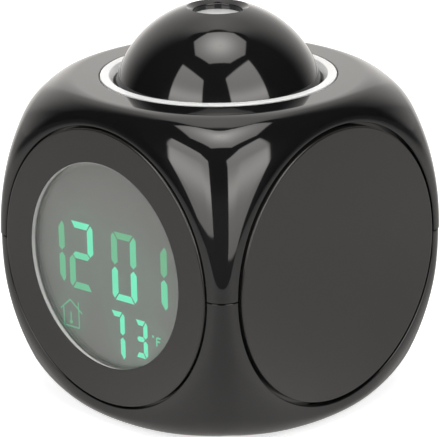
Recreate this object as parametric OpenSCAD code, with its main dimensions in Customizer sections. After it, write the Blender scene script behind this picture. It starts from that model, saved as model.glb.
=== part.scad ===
// Projection alarm clock: a rounded-cube housing with a round panel in every side, a round
// display in front and a press-down dome on top that carries the ceiling projector.
// Millimetres, +Z up, display towards -Y. The origin is the point on the table under the middle
// of the housing. Every module below works in housing coordinates, with zero at the housing's
// centre, and housing() lifts the finished piece onto its feet.

/* [Housing] */
// Width, depth and height of the rounded cube
body_w = 80; // [79:0.5:81]
// Radius of the ball that blunts the cube's corners
ball_r = 56.6; // [56.4:0.1:57]
// Wall of the two moulded shells
wall = 2.2; // [2:0.1:2.4]
// How far the rubber feet stand proud of the base
foot_h = 0.8; // [0.5:0.1:1.2]

/* [Round panels] */
// Radius of the round window in each side of the housing
window_r = 34.9; // [34.7:0.1:35.1]
// Gap all round between a side panel and its window
panel_gap = 0.7; // [0.5:0.05:0.8]
// Gap all round between the front bezel and its window
bezel_gap = 0.25; // [0.2:0.05:0.4]
// How far a panel stands proud of the housing's flat side
panel_proud = 0.3; // [0.1:0.1:0.5]
// Thickness of the panels
panel_t = 2.2; // [2:0.1:2.6]

/* [Display] */
// Radius of the round display opening
display_r = 25.5; // [24.5:0.5:26]
// Depth of the display window behind the bezel's face
display_recess = 1.3; // [1:0.1:1.6]

/* [Dome] */
// Radius of the dome's sphere
dome_r = 26; // [25.8:0.1:26.2]
// Height of the dome sphere's centre above the housing's centre
dome_lift = 31.9; // [31.7:0.1:32.2]
// How far the dome goes down when it is pressed
dome_travel = 1.5; // [1:0.1:1.6]
// Radius of the projector's opening in the top of the dome
aperture_r = 5.75; // [5.5:0.05:6]

/* [Rear panel] */
// How far a rear button goes in
button_travel = 0.6; // [0.4:0.1:0.7]
// Radius of a rear button
button_r = 3.2; // [3:0.1:3.3]

/* [Hidden] */
$fn = 96;
half = body_w / 2;
reach = 60;
eps = 0.01;

// Each side of the housing, swung about its own axis: a flat disc, a shoulder arc that starts
// level with it, and a wide crown arc that carries on from the shoulder. The shoulder arc is
// drawn a hair large, so that it crosses the flat and the crown instead of just touching them
side_flat_r = 34.4;
top_flat_r = 35.2;
shoulder_r = 9.5;
shoulder_turn = 26.4;
crown_r = 37.1;
skim = 0.005;
// Rounding of the twelve ridges where two sides meet, and its distance from the centre
edge_arc_r = 10;
edge_arc_c = 31.32;

// Panels
panel_r = window_r - panel_gap;
panel_top = half + panel_proud;
panel_back = panel_top - panel_t;
panel_edge = 0.4;
bezel_r = window_r - bezel_gap;
skirt_r = panel_r - 0.2;
skirt_t = 1.6;
skirt_w = 29;
skirt_end = 35.5;
hook_w = 10;
hook_r = 35.3;

// Screw columns near the four corners of the housing, far enough in for their wells to open
// under the base; the rear two stand just clear of the battery tray
column_places = [[30, 28.5], [-30, 28.5], [27.5, -25.5], [-27.5, -25.5]];
column_r = 3;
column_head_r = 3.7;
column_top = 22;
web_t = 1.6;
web_l = 24;
web_to = 38;
web_z = [5, 20];
lip_clear = 34.5;
screw_r = 1.3;
screw_fit = 0.02;
screw_head_r = 2.6;
screw_head_h = 2.4;
screw_seat = -15.5;
screw_end = 8;
thread_r = 0.9;
head_clear_r = 1.1;

// Trim ring round the dome
ring_r = 28.85;
ring_gap = 0.3;
ring_in = 25.65;
ring_bevel = [27.15, 38.75];
ring_top = 40.1;
ring_seat = 38.3;
ring_tube_r = 27.6;
ring_tube_end = 35.9;

// Dome
dome_wall = 2.2;
skirt_of_dome_r = 25.1;
dome_base = 34.3;
dome_stop_r = 27.2;
dome_stop_h = 1.5;
rim_r = 7.4;
rim_depth = 1.03;
rim_z = dome_lift + sqrt(dome_r * dome_r - rim_r * rim_r);
post_ring_r = 19.5;
post_r = 3.2;
post_base = 34.5;
pin_r = 1.6;
pin_top = 38;
pin_bore_top = 41;

// Dome carrier plate, which hangs from four posts under the top of the upper shell
carrier_z = 25;
carrier_t = 2;
carrier_half = 26;
carrier_r = 35;
carrier_post_at = 22.5;
carrier_post_r = 2.4;
spring_r = 2.6;
spring_wire_r = 0.3;
spring_turns = 5;

// Projector
barrel_r = 8.2;
barrel_bore = 6;
lens_r = 7.2;
lens_seat = 50.4;
lens_apex = rim_z - 1.83;
lens_curve_r = 60;
barrel_base = 31.5;
barrel_top = 53.2;
ear_at = [13.5, 4];
ear_r = 2.4;
ear_t = 1.5;
slide_z = 38.5;

// Display stack, measured outwards along -Y from the housing's centre
glass_half = 25.9;
glass_corner = 35.1;
glass_back = 35.8;
glass_t = 1.9;
glass_fit = 0.2;
frame_half_w = 26.9;
frame_half_h = 30.8;
frame_back = 31.4;
frame_screw_at = [22.5, 28.7];
frame_screw_depth = 4.2;
board_t = 1.6;
board_back = frame_back - board_t;
guide_back = 33;
guide_t = 2.7;
led_w = 1.2;
strip_w = 3;
strip_l = 50;

// Rear panel, measured outwards along +Y from the housing's centre
field_top = 39.5;
field_back = 37.3;
rim_in = 32;
door_w = 49.4;
door_low = -21.25;
door_high = 13.25;
door_gap = 0.25;
door_t = 1.8;
door_pin_r = 0.6;
pin_running = 0.05;
button_at = [-16.5, -5.5, 5.5, 16.5];
button_up = 20.5;
plunger_r = 1.6;
button_board_z = 30.6;
button_board_t = 1;
button_post_x = 24.6;
switch_w = 6;
switch_h = 3.5;
bore_spare = 0.65;

// Battery tray
tray_wall = 1.2;
tray_floor = 24.6;
cell_r = 5.25;
cell_l = 43.3;
nub_r = 1.9;
nub_l = 1;
cell_pitch = 11.2;
cell_mid = (door_low + door_high) / 2;
cell_z = tray_floor + tray_wall + 0.3 + cell_r;

// Base
foot_r = 4;
foot_at = 21;
foot_sunk = 0.8;
speaker_r = 14;
sound_hole_r = 1;
sound_hole_pitch = 3.6;

// ---- Placing ----

module housing() {
    translate([0, 0, foot_h + half]) children();
}

// The four sides: local +Z points out of the side and local +Y points up.
module on_front() { rotate([90, 0, 0]) children(); }
module on_rear() { rotate([90, 0, 180]) children(); }
module on_right() { rotate([90, 0, 90]) children(); }
module on_left() { rotate([90, 0, -90]) children(); }

module at_corners(d) {
    for (sx = [-1, 1], sy = [-1, 1]) translate([sx * d, sy * d, 0]) children();
}

module span(z0, z1) { translate([0, 0, z0]) linear_extrude(z1 - z0) children(); }

module disc(r, z0, z1) { translate([0, 0, z0]) cylinder(r = r, h = z1 - z0); }

module tube(r_out, r_in, z0, z1) {
    difference() {
        disc(r_out, z0, z1);
        disc(r_in, z0 - 1, z1 + 1);
    }
}

// ---- Housing form ----

// Two circles at mid and its mirror image below, closed inwards by a block as wide as the circle's
// middle and outwards by a band from -band to band.
module rounded_block(mid, r, band) {
    for (s = [-1, 1]) translate([mid[0], s * mid[1]]) circle(r);
    translate([0, -reach]) square([mid[0], 2 * reach]);
    translate([0, -band]) square([2 * reach, 2 * band]);
}

// Half section of two opposite sides, ready to be swung about their common axis: the flat, the
// shoulder arc and the crown arc. inset moves every face inwards by the same amount.
module side_section(flat_r, inset) {
    shoulder_at = [flat_r, half - shoulder_r];
    turned = [sin(shoulder_turn), cos(shoulder_turn)];
    crown_at = shoulder_at - (crown_r - shoulder_r) * turned;
    shoulder = shoulder_r + skim - inset;
    intersection() {
        translate([0, inset - half]) square([2 * reach, 2 * (half - inset)]);
        rounded_block(shoulder_at, shoulder, shoulder_at[1] + shoulder * turned[1]);
        rounded_block(crown_at, crown_r - inset, crown_at[1]);
    }
}

// Square with its four corners closed by arcs; its straight sides lie outside the housing.
module edge_section(inset) {
    at_corners(edge_arc_c) circle(edge_arc_r - inset);
    square([2 * edge_arc_c, 2 * reach], center = true);
    square([2 * reach, 2 * edge_arc_c], center = true);
}

module full_section(inset) {
    side_section(side_flat_r, inset);
    mirror([1, 0]) side_section(side_flat_r, inset);
}

// The housing's section in the parting plane.
module plan_outline(inset) {
    intersection() {
        edge_section(inset);
        full_section(inset);
        rotate(90) full_section(inset);
    }
}

// The rounded cube: its three pairs of sides, blunted by a ball and by the rounded ridges.
module rounded_cube(inset) {
    intersection() {
        sphere(ball_r - inset);
        rotate_extrude() side_section(top_flat_r, inset);
        rotate([90, 0, 0]) rotate_extrude() side_section(side_flat_r, inset);
        rotate([0, 90, 0]) rotate_extrude() side_section(side_flat_r, inset);
        linear_extrude(2 * reach, center = true) edge_section(inset);
        rotate([90, 0, 0]) linear_extrude(2 * reach, center = true) edge_section(inset);
        rotate([0, 90, 0]) linear_extrude(2 * reach, center = true) edge_section(inset);
    }
}

// Hollow housing with its four round side windows, before it is parted.
module hollow_housing() {
    difference() {
        rounded_cube(0);
        rounded_cube(wall);
        rotate([90, 0, 0]) cylinder(r = window_r, h = 2 * reach, center = true);
        rotate([0, 90, 0]) cylinder(r = window_r, h = 2 * reach, center = true);
    }
}

module half_space(z0, z1) { span(z0, z1) square(2 * reach, center = true); }

module at_columns() {
    for (p = column_places) translate([p[0], p[1], 0]) children();
}

// Thin webs that tie the screw columns to the corners of the shell behind them.
module column_webs(z0, z1) {
    for (p = column_places)
        translate([p[0], p[1], z0])
            rotate(atan2(sign(p[1]) * web_to - p[1], sign(p[0]) * web_to - p[0]))
                translate([0, -web_t / 2, 0]) cube([web_l, web_t, z1 - z0]);
}

module upper_shell() {
    lap = 1.4;
    lap_wall = 1;
    post_bore = 6;
    color([0.07, 0.07, 0.08]) housing() difference() {
        union() {
            intersection() {
                hollow_housing();
                half_space(0, reach);
            }
            intersection() {
                rounded_cube(wall / 2);
                union() {
                    at_columns() disc(column_r, 0, column_top);
                    column_webs(web_z[0], web_z[1]);
                }
            }
            at_corners(carrier_post_at) disc(carrier_post_r, carrier_z + carrier_t, half - wall + 1);
        }
        disc(ring_r + ring_gap, ring_seat, reach);
        disc(ring_tube_r + 0.4, 0, reach);
        span(-1, lap) difference() {
            plan_outline(lap_wall);
            square(2 * lip_clear, center = true);
        }
        at_columns() disc(screw_r + screw_fit, -1, screw_end + 2);
        at_corners(carrier_post_at)
            disc(thread_r + screw_fit, carrier_z, carrier_z + carrier_t + post_bore);
    }
}

module sound_holes() {
    disc(sound_hole_r, -reach, 0);
    for (ring = [1, 2], i = [0:6 * ring - 1])
        rotate(i * 60 / ring) translate([ring * sound_hole_pitch, 0, 0])
            disc(sound_hole_r, -reach, 0);
}

module lower_shell() {
    lap = 1.2;
    lap_wall = 1.1;
    speaker_wall = 1.2;
    color([0.07, 0.07, 0.08]) housing() difference() {
        union() {
            intersection() {
                hollow_housing();
                half_space(-reach, 0);
            }
            span(-3, lap) difference() {
                plan_outline(lap_wall);
                plan_outline(wall);
                square([2 * reach, 2 * window_r], center = true);
                square([2 * window_r, 2 * reach], center = true);
            }
            intersection() {
                rounded_cube(wall / 2);
                union() {
                    at_columns() disc(column_r, -half, 0);
                    at_columns() disc(column_head_r, -half, screw_seat + 1);
                    column_webs(-web_z[1], -web_z[0]);
                }
            }
            tube(speaker_r + 0.3 + speaker_wall, speaker_r + 0.3, wall - half - eps, -34);
        }
        at_columns() disc(screw_r + 0.3, -reach, 1);
        at_columns() disc(screw_head_r + 0.3, -reach, screw_seat);
        at_corners(foot_at) disc(foot_r + 0.15, -reach, foot_sunk - half);
        sound_holes();
    }
}

// Pan-head self-tapping screw along +Z with its head below z0.
module screw(z0, z1, r, head_r, head_h) {
    recess_w = head_r * 0.3;
    difference() {
        union() {
            disc(r, z0 - eps, z1);
            disc(head_r, z0 - head_h, z0);
        }
        for (a = [0, 90])
            rotate(a) translate([-head_r * 0.6, -recess_w / 2, z0 - head_h - 1])
                cube([head_r * 1.2, recess_w, 1 + head_h * 0.5]);
    }
}

module housing_screws() {
    color("silver") housing() at_columns()
        screw(screw_seat, screw_end, screw_r, screw_head_r, screw_head_h);
}

module rubber_feet() {
    color([0.16, 0.16, 0.16]) housing() at_corners(foot_at)
        translate([0, 0, -half - foot_h]) rotate_extrude() polygon([
            [0, 0], [foot_r - 0.3, 0], [foot_r, 0.3],
            [foot_r, foot_h + foot_sunk], [0, foot_h + foot_sunk]
        ]);
}

// ---- Round panels ----

module panel_plate(r, back) {
    rotate_extrude() polygon([
        [0, back], [r, back], [r, panel_top - panel_edge],
        [r - panel_edge, panel_top], [0, panel_top]
    ]);
}

module crossed_bars(w) {
    square([2 * reach, w], center = true);
    square([w, 2 * reach], center = true);
}

// Four short skirts behind a panel, each with a hook that catches behind the shell's wall.
module panel_skirts(back) {
    hook_top = half - wall - 0.2;
    intersection() {
        tube(skirt_r, skirt_r - skirt_t, skirt_end, back + eps);
        span(0, reach) crossed_bars(skirt_w);
    }
    intersection() {
        tube(hook_r, skirt_r - 0.5, hook_top - 1.2, hook_top);
        span(0, reach) crossed_bars(hook_w);
    }
}

module side_panel(r) {
    panel_plate(r, panel_back);
    panel_skirts(panel_back);
}

module right_side_panel() { color([0.1, 0.1, 0.1]) housing() on_right() side_panel(panel_r); }
module left_side_panel() { color([0.1, 0.1, 0.1]) housing() on_left() side_panel(panel_r); }

// ---- Display ----

window_seat_r = 29.2;
window_face = panel_top - display_recess;
liner_t = 0.6;
bezel_lip = 0.3;

module front_bezel() {
    color([0.1, 0.1, 0.1]) housing() on_front() difference() {
        side_panel(bezel_r);
        disc(display_r, 0, reach);
        disc(display_r + liner_t + 0.05, 0, panel_top - bezel_lip);
        disc(window_seat_r, 0, window_face);
    }
}

// White liner in the display opening, behind the bezel's thin lip.
module display_liner() {
    color([0.92, 0.92, 0.92]) housing() on_front()
        tube(display_r + liner_t, display_r, window_face, panel_top - bezel_lip);
}

module display_window() {
    color([0.8, 0.85, 0.85, 0.4]) housing() on_front()
        disc(window_seat_r - 0.2, panel_back, window_face);
}

module display_gasket() {
    color([0.2, 0.2, 0.2]) housing() on_front()
        tube(frame_half_w - 0.1, display_r + 0.3, glass_back + glass_t, panel_back);
}

// Square glass with its corners cut off, where the shells' walls curve in.
module lcd_glass() {
    color([0.55, 0.57, 0.55]) housing() on_front()
        span(glass_back, glass_back + glass_t) intersection() {
            square(2 * glass_half, center = true);
            rotate(45) square(2 * glass_corner, center = true);
        }
}

module at_frame_screws() {
    for (sx = [-1, 1], sy = [-1, 1])
        translate([frame_screw_at[0] * sx, frame_screw_at[1] * sy, 0]) children();
}

// Middle of the contact strip, along the lower edge of the glass.
module at_strip() { translate([0, -glass_half + strip_w / 2 + glass_fit, 0]) children(); }

// Moulded frame that holds the glass over the light guide, screwed to the board behind it.
module display_frame() {
    open_w = [40, 38];
    color([0.9, 0.9, 0.88]) housing() on_front() intersection() {
        difference() {
            span(frame_back, glass_back + glass_t)
                square([2 * frame_half_w, 2 * frame_half_h], center = true);
            span(guide_back, reach) square(2 * (glass_half + glass_fit), center = true);
            span(0, reach) square(open_w, center = true);
            at_strip() span(0, reach) square([strip_l + 0.4, strip_w + 0.2], center = true);
            intersection() {
                tube(hook_r + 0.4, skirt_r - skirt_t - 0.4, skirt_end - 0.3, reach);
                span(0, reach) crossed_bars(skirt_w + 1);
            }
            at_frame_screws() disc(thread_r + screw_fit, 0, frame_back + frame_screw_depth);
        }
        rounded_cube(wall + 0.5);
    }
}

module backlight_guide() {
    low = -glass_half + strip_w + 0.5;
    high = glass_half - led_w - 0.5;
    color([0.85, 0.95, 0.9, 0.8]) housing() on_front()
        translate([-glass_half, low, 0])
            span(guide_back, guide_back + guide_t) square([2 * glass_half, high - low]);
}

module backlight_leds() {
    led_l = 3.2;
    color([0.95, 0.95, 0.8]) housing() on_front()
        for (x = [-14, 0, 14])
            translate([x, glass_half - led_w / 2 - 0.1, 0])
                span(guide_back + 0.2, guide_back + 2) square([led_l, led_w], center = true);
}

module contact_strip() {
    color([0.85, 0.5, 0.55]) housing() on_front() at_strip()
        span(frame_back, glass_back) square([strip_l, strip_w - 0.2], center = true);
}

module main_board() {
    color([0.1, 0.35, 0.15]) housing() on_front() difference() {
        span(board_back, frame_back)
            square([2 * frame_half_w, 2 * frame_half_h], center = true);
        at_frame_screws() disc(head_clear_r, 0, reach);
    }
}

// Two resin-covered chips and the clock crystal on the back of the board.
module clock_chips() {
    resin_r = 7;
    resin_h = 1.8;
    resin_ball = 9;
    crystal_r = 1.5;
    crystal_l = 8;
    color([0.05, 0.05, 0.05]) housing() on_front() {
        for (p = [[-10, 6], [11, -4]])
            translate([p[0], p[1], board_back]) intersection() {
                translate([0, 0, resin_ball - 2 * resin_h]) sphere(resin_ball);
                disc(resin_r, -resin_h, 0);
            }
        translate([14, 16, board_back - crystal_r - 0.1]) rotate([0, 90, 0])
            cylinder(r = crystal_r, h = crystal_l);
    }
}

module thermistor() {
    lead_r = 0.35;
    lead_l = 4;
    pitch = 2.5;
    bead_r = 1.7;
    color([0.1, 0.1, 0.1]) housing() on_front() translate([20, -24, board_back]) {
        for (x = [0, pitch]) translate([x, 0, 0]) disc(lead_r, -lead_l, 0);
        translate([pitch / 2, 0, -lead_l - 0.6]) sphere(bead_r);
    }
}

module board_screw() { screw(0, 4.6, thread_r, 1.7, 1.2); }

// Four screws hold the display frame to the main board and two hold the button board.
module board_screws() {
    color("silver") housing() {
        on_front() at_frame_screws() translate([0, 0, board_back]) board_screw();
        on_rear() for (sx = [-1, 1])
            translate([button_post_x * sx, button_up, button_board_z]) board_screw();
    }
}

// ---- Rear panel, buttons and battery compartment ----

door_axis = [door_low + door_t / 2, field_top - door_t / 2];

module rear_panel() {
    color([0.1, 0.1, 0.1]) housing() on_rear() difference() {
        union() {
            rotate_extrude() polygon([
                [0, field_back], [panel_r, field_back], [panel_r, panel_top - panel_edge],
                [panel_r - panel_edge, panel_top], [rim_in + 0.6, panel_top],
                [rim_in, field_top], [0, field_top]
            ]);
            panel_skirts(field_back);
            for (sx = [-1, 1])
                translate([button_post_x * sx, button_up, 0])
                    disc(2, button_board_z + button_board_t, field_back + eps);
        }
        translate([-door_w / 2 - door_gap, door_low - door_gap, 0]) span(0, reach)
            square([door_w + 2 * door_gap, door_high - door_low + 2 * door_gap]);
        translate([0, door_axis[0], door_axis[1]]) rotate([0, 90, 0])
            cylinder(r = door_pin_r + pin_running, h = door_w + 4, center = true);
        for (x = button_at) translate([x, button_up, 0]) disc(button_r + 0.2, 0, reach);
        for (sx = [-1, 1])
            translate([button_post_x * sx, button_up, 0]) disc(thread_r + screw_fit, 0, 36.5);
    }
}

module rear_button(x) {
    flange_r = 3.9;
    flange_top = field_back - 0.05;
    plunger_top = button_board_z + button_board_t + switch_h + 1.2;
    color([0.12, 0.12, 0.12]) housing() on_rear() translate([x, button_up, 0])
        rotate_extrude() polygon([
            [0, plunger_top], [flange_r, plunger_top], [flange_r, flange_top],
            [button_r, flange_top], [button_r, panel_top - 0.4],
            [button_r - 0.4, panel_top], [0, panel_top]
        ]);
}

module rear_plunger(x) {
    foot = button_board_z + button_board_t + switch_h - 0.3;
    color([0.15, 0.15, 0.15]) housing() on_rear() translate([x, button_up, 0])
        disc(plunger_r, foot, foot + 1.5);
}

module mode_button() { rear_button(button_at[0]); }
module set_button() { rear_button(button_at[1]); }
module down_button() { rear_button(button_at[2]); }
module up_button() { rear_button(button_at[3]); }
module mode_plunger() { rear_plunger(button_at[0]); }
module set_plunger() { rear_plunger(button_at[1]); }
module down_plunger() { rear_plunger(button_at[2]); }
module up_plunger() { rear_plunger(button_at[3]); }

// Square push switch with a blind bore for its plunger, standing on z = 0.
module push_switch(bore_depth) {
    difference() {
        span(0, switch_h) square(switch_w, center = true);
        disc(plunger_r + 0.1, switch_h - bore_depth, switch_h + 1);
    }
}

module rear_switches() {
    color([0.3, 0.3, 0.3]) housing() on_rear() for (x = button_at)
        translate([x, button_up, button_board_z + button_board_t]) push_switch(button_travel + bore_spare);
}

module button_board() {
    color([0.1, 0.35, 0.15]) housing() on_rear() translate([0, button_up, 0]) difference() {
        span(button_board_z, button_board_z + button_board_t) square([53, 8.4], center = true);
        for (sx = [-1, 1]) translate([button_post_x * sx, 0, 0]) disc(head_clear_r, 0, reach);
    }
}

module tray_area(grow) {
    translate([-door_w / 2 - grow, door_low - grow])
        square([door_w + 2 * grow, door_high - door_low + 2 * grow]);
}

module battery_tray() {
    rib_t = 0.8;
    color([0.08, 0.08, 0.08]) housing() on_rear() {
        difference() {
            span(tray_floor, field_back) tray_area(door_gap + tray_wall);
            span(tray_floor + tray_wall, reach) tray_area(door_gap);
        }
        for (s = [-1, 1])
            translate([0, cell_mid + s * cell_pitch / 2, 0])
                span(tray_floor + tray_wall - eps, cell_z - 1.5) square([40, rib_t], center = true);
    }
}

// Lift-up cover of the battery compartment, which turns on two stub pins at its lower edge.
module battery_door() {
    latch_w = 12;
    latch_gap = 0.5;
    grip_h = 0.5;
    door_back = field_top - door_t;
    color([0.1, 0.1, 0.1]) housing() on_rear() {
        difference() {
            union() {
                translate([-door_w / 2, door_axis[0], 0]) span(door_back, field_top)
                    square([door_w, door_high - door_axis[0]]);
                translate([0, door_axis[0], door_axis[1]]) rotate([0, 90, 0])
                    cylinder(r = door_t / 2, h = door_w, center = true);
                translate([0, door_axis[0], door_axis[1]]) rotate([0, 90, 0])
                    cylinder(r = door_pin_r, h = door_w + 3, center = true);
                for (i = [0:4])
                    translate([-latch_w / 2 + 1, door_high - 2.6 - 1.5 * i, 0])
                        span(field_top - eps, field_top + grip_h) square([latch_w - 2, 0.7]);
            }
            for (s = [-1, 1])
                translate([s * (latch_w / 2 + latch_gap), door_high - 3.5, 0])
                    span(0, reach) square([2 * latch_gap, 7.1], center = true);
        }
    }
}

module cell_places() {
    for (i = [-1, 0, 1])
        translate([0, cell_mid + i * cell_pitch, cell_z]) rotate(i == 0 ? 180 : 0) children();
}

// Local +X of each place points to the battery's positive end.
cell_minus_x = -cell_l / 2 - nub_l / 2 + 1;

module battery_cells() {
    color([0.2, 0.45, 0.3]) housing() on_rear() cell_places()
        translate([cell_minus_x, 0, 0]) rotate([0, 90, 0]) {
            cylinder(r = cell_r, h = cell_l);
            translate([0, 0, cell_l - eps]) cylinder(r = nub_r, h = nub_l + eps);
        }
}

module battery_plates() {
    plate_t = 0.3;
    wall_x = door_w / 2 + door_gap;
    color("silver") housing() on_rear() cell_places() {
        translate([wall_x - plate_t, -4, -4]) cube([plate_t, 8, 8]);
        translate([-wall_x, -4, -4]) cube([plate_t, 8, 8]);
    }
}

// Wire of radius wire_r on a conical helix from (r0, z = 0) to (r1, z = h), with flat ends.
module coil(r0, r1, h, turns, wire_r) {
    steps = 12;
    sides = 6;
    rings = turns * steps;
    points = [
        for (i = [0:rings], j = [0:sides - 1])
            let (
                a = 360 * i / steps,
                b = 360 * j / sides,
                r = r0 + (r1 - r0) * i / rings + wire_r * cos(b)
            )
            [r * cos(a), r * sin(a), h * i / rings + wire_r * sin(b)]
    ];
    skin = [
        for (i = [0:rings - 1], j = [0:sides - 1])
            let (k = (j + 1) % sides)
            [i * sides + j, i * sides + k, (i + 1) * sides + k, (i + 1) * sides + j]
    ];
    end_a = [[for (j = [sides - 1:-1:0]) j]];
    end_b = [[for (j = [0:sides - 1]) rings * sides + j]];
    polyhedron(points, concat(skin, end_a, end_b));
}

module battery_springs() {
    wire_r = 0.25;
    start_x = -door_w / 2 - door_gap + 0.3 + wire_r;
    color("silver") housing() on_rear() cell_places()
        translate([start_x, 0, 0]) rotate([0, 90, 0])
            coil(3.4, 1.8, cell_minus_x - start_x - wire_r - 0.05, 3, wire_r);
}

// ---- Trim ring and dome ----

module trim_ring() {
    color([0.92, 0.92, 0.92]) housing() rotate_extrude() polygon([
        [ring_in, ring_tube_end], [ring_tube_r, ring_tube_end], [ring_tube_r + 0.3, 36.4],
        [ring_tube_r + 0.3, 37.6], [ring_tube_r, 37.6], [ring_tube_r, ring_seat],
        [ring_r, ring_seat], [ring_r, ring_top - 0.25], [ring_r - 0.25, ring_top],
        [ring_bevel[0], ring_top], [ring_in, ring_bevel[1]]
    ]);
}

module dome_posts() {
    for (a = [90, 210, 330]) rotate(a) translate([post_ring_r, 0, 0]) children();
}

switch_at = -17;
switch_base = carrier_z + carrier_t + 1;
plunger_top = 34.6;

module dome() {
    inner_r = dome_r - dome_wall;
    skirt_top = dome_lift + sqrt(dome_r * dome_r - skirt_of_dome_r * skirt_of_dome_r);
    collar_r = 9.7;
    color([0.06, 0.06, 0.07]) housing() difference() {
        union() {
            difference() {
                union() {
                    intersection() {
                        translate([0, 0, dome_lift]) sphere(dome_r);
                        half_space(skirt_top, reach + 10);
                    }
                    disc(skirt_of_dome_r, dome_base, skirt_top + eps);
                    disc(dome_stop_r, dome_base, dome_base + dome_stop_h);
                }
                translate([0, 0, dome_lift]) sphere(inner_r);
                disc(skirt_of_dome_r - dome_wall + 0.2, 0, skirt_top - 1);
            }
            intersection() {
                translate([0, 0, dome_lift]) sphere(dome_r - 1);
                union() {
                    dome_posts() disc(post_r, post_base, reach);
                    for (s = [-1, 1])
                        translate([s * ear_at[0], ear_at[1], 0])
                            disc(ear_r - 0.2, barrel_base + ear_t, reach);
                    translate([0, switch_at, 0]) disc(2, plunger_top, reach);
                    tube(collar_r, barrel_r + 0.1, 49, reach);
                }
            }
        }
        dome_posts() disc(pin_r + 0.15, 0, pin_bore_top);
        for (s = [-1, 1])
            translate([s * ear_at[0], ear_at[1], 0]) disc(thread_r + screw_fit, 0, barrel_base + 7);
        disc(aperture_r, lens_seat, reach + 10);
        translate([0, 0, rim_z - rim_depth]) cylinder(r1 = aperture_r, r2 = rim_r, h = rim_depth);
        disc(rim_r, rim_z - eps, reach + 10);
    }
}

module lens_barrel() {
    light_r = 5;
    color([0.05, 0.05, 0.05]) housing() difference() {
        union() {
            disc(barrel_r, barrel_base, barrel_top);
            for (s = [-1, 1])
                translate([s * ear_at[0], ear_at[1], 0]) disc(ear_r, barrel_base, barrel_base + ear_t);
            translate([0, ear_at[1], 0]) span(barrel_base, barrel_base + ear_t)
                square([2 * ear_at[0], 2 * ear_r], center = true);
        }
        disc(lens_r + 0.02, lens_seat, reach);
        disc(barrel_bore, slide_z, reach);
        disc(light_r, 0, reach);
        for (s = [-1, 1])
            translate([s * ear_at[0], ear_at[1], 0]) disc(head_clear_r, 0, reach);
    }
}

module projection_lens() {
    color([0.85, 0.88, 0.9, 0.5]) housing() intersection() {
        disc(lens_r, lens_seat, reach);
        translate([0, 0, lens_apex - lens_curve_r]) sphere(lens_curve_r);
    }
}

module projector_slide() {
    color([0.3, 0.35, 0.4]) housing() span(slide_z, slide_z + 1.2) square(8.2, center = true);
}

module projector_led() {
    base = barrel_base;
    color([0.8, 0.2, 0.2]) housing() {
        disc(2.9, base, base + 0.8);
        disc(2.5, base, base + 2.4);
        translate([0, 0, base + 2.4]) intersection() {
            sphere(2.5);
            disc(3, 0, 3);
        }
    }
}

module projector_board() {
    color([0.1, 0.35, 0.15]) housing() disc(7.8, barrel_base - 1.5, barrel_base);
}

module barrel_screws() {
    color("silver") housing() for (s = [-1, 1])
        translate([s * ear_at[0], ear_at[1], barrel_base]) board_screw();
}

module dome_carrier() {
    top = carrier_z + carrier_t;
    color([0.12, 0.12, 0.12]) housing() {
        difference() {
            intersection() {
                disc(carrier_r, carrier_z, top);
                span(0, reach) square(2 * carrier_half, center = true);
            }
            disc(10.5, 0, reach);
            at_corners(carrier_post_at) disc(head_clear_r, 0, reach);
        }
        dome_posts() disc(pin_r, top - eps, pin_top);
        for (s = [-1, 1]) translate([s * 5.5, switch_at, 0]) disc(0.6, top - eps, top + 1.6);
    }
}

module carrier_screws() {
    color("silver") housing() at_corners(carrier_post_at)
        translate([0, 0, carrier_z]) screw(0, 6.6, thread_r, 1.9, 1.3);
}

module dome_springs() {
    z0 = carrier_z + carrier_t + spring_wire_r + 0.02;
    z1 = post_base - spring_wire_r - 0.02;
    color("silver") housing() dome_posts() translate([0, 0, z0])
        coil(spring_r, spring_r, z1 - z0, spring_turns, spring_wire_r);
}

module dome_switch() {
    color([0.3, 0.3, 0.3]) housing() translate([0, switch_at, 0]) {
        difference() {
            span(carrier_z + carrier_t, switch_base) square([14, 8], center = true);
            for (s = [-1, 1]) translate([s * 5.5, 0, 0]) disc(0.7, 0, reach);
        }
        translate([0, 0, switch_base - eps]) push_switch(dome_travel + bore_spare);
    }
}

module dome_plunger() {
    color([0.6, 0.1, 0.1]) housing() translate([0, switch_at, 0])
        disc(plunger_r, switch_base + switch_h - 0.4, plunger_top);
}

// ---- Speaker, which faces down through the holes in the base ----

speaker_face = wall - half + 0.1;

module speaker_frame() {
    color([0.6, 0.6, 0.6]) housing() rotate_extrude() polygon([
        [11.5, speaker_face], [speaker_r, speaker_face], [speaker_r, speaker_face + 1],
        [12.8, speaker_face + 1], [8.2, speaker_face + 4], [5, speaker_face + 4],
        [5, speaker_face + 3.2], [7.9, speaker_face + 3.2], [11.9, speaker_face + 0.8]
    ]);
}

module speaker_cone() {
    color([0.15, 0.15, 0.15]) housing() rotate_extrude() polygon([
        [0, speaker_face + 2.2], [3, speaker_face + 2.2], [10.6, speaker_face + 0.4],
        [11.3, speaker_face + 0.4], [11.3, speaker_face + 0.7], [10.7, speaker_face + 0.7],
        [3.1, speaker_face + 2.6], [0, speaker_face + 2.6]
    ]);
}

module speaker_magnet() {
    color([0.5, 0.5, 0.5]) housing() disc(7.6, speaker_face + 4, speaker_face + 8);
}

upper_shell();
lower_shell();
housing_screws();
rubber_feet();
front_bezel();
display_liner();
display_window();
display_gasket();
lcd_glass();
display_frame();
backlight_guide();
backlight_leds();
contact_strip();
main_board();
clock_chips();
thermistor();
board_screws();
right_side_panel();
left_side_panel();
rear_panel();
mode_button();
set_button();
down_button();
up_button();
mode_plunger();
set_plunger();
down_plunger();
up_plunger();
rear_switches();
button_board();
battery_tray();
battery_door();
battery_cells();
battery_springs();
battery_plates();
trim_ring();
dome();
lens_barrel();
projection_lens();
projector_slide();
projector_led();
projector_board();
barrel_screws();
dome_carrier();
carrier_screws();
dome_springs();
dome_switch();
dome_plunger();
speaker_frame();
speaker_cone();
speaker_magnet();
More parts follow.
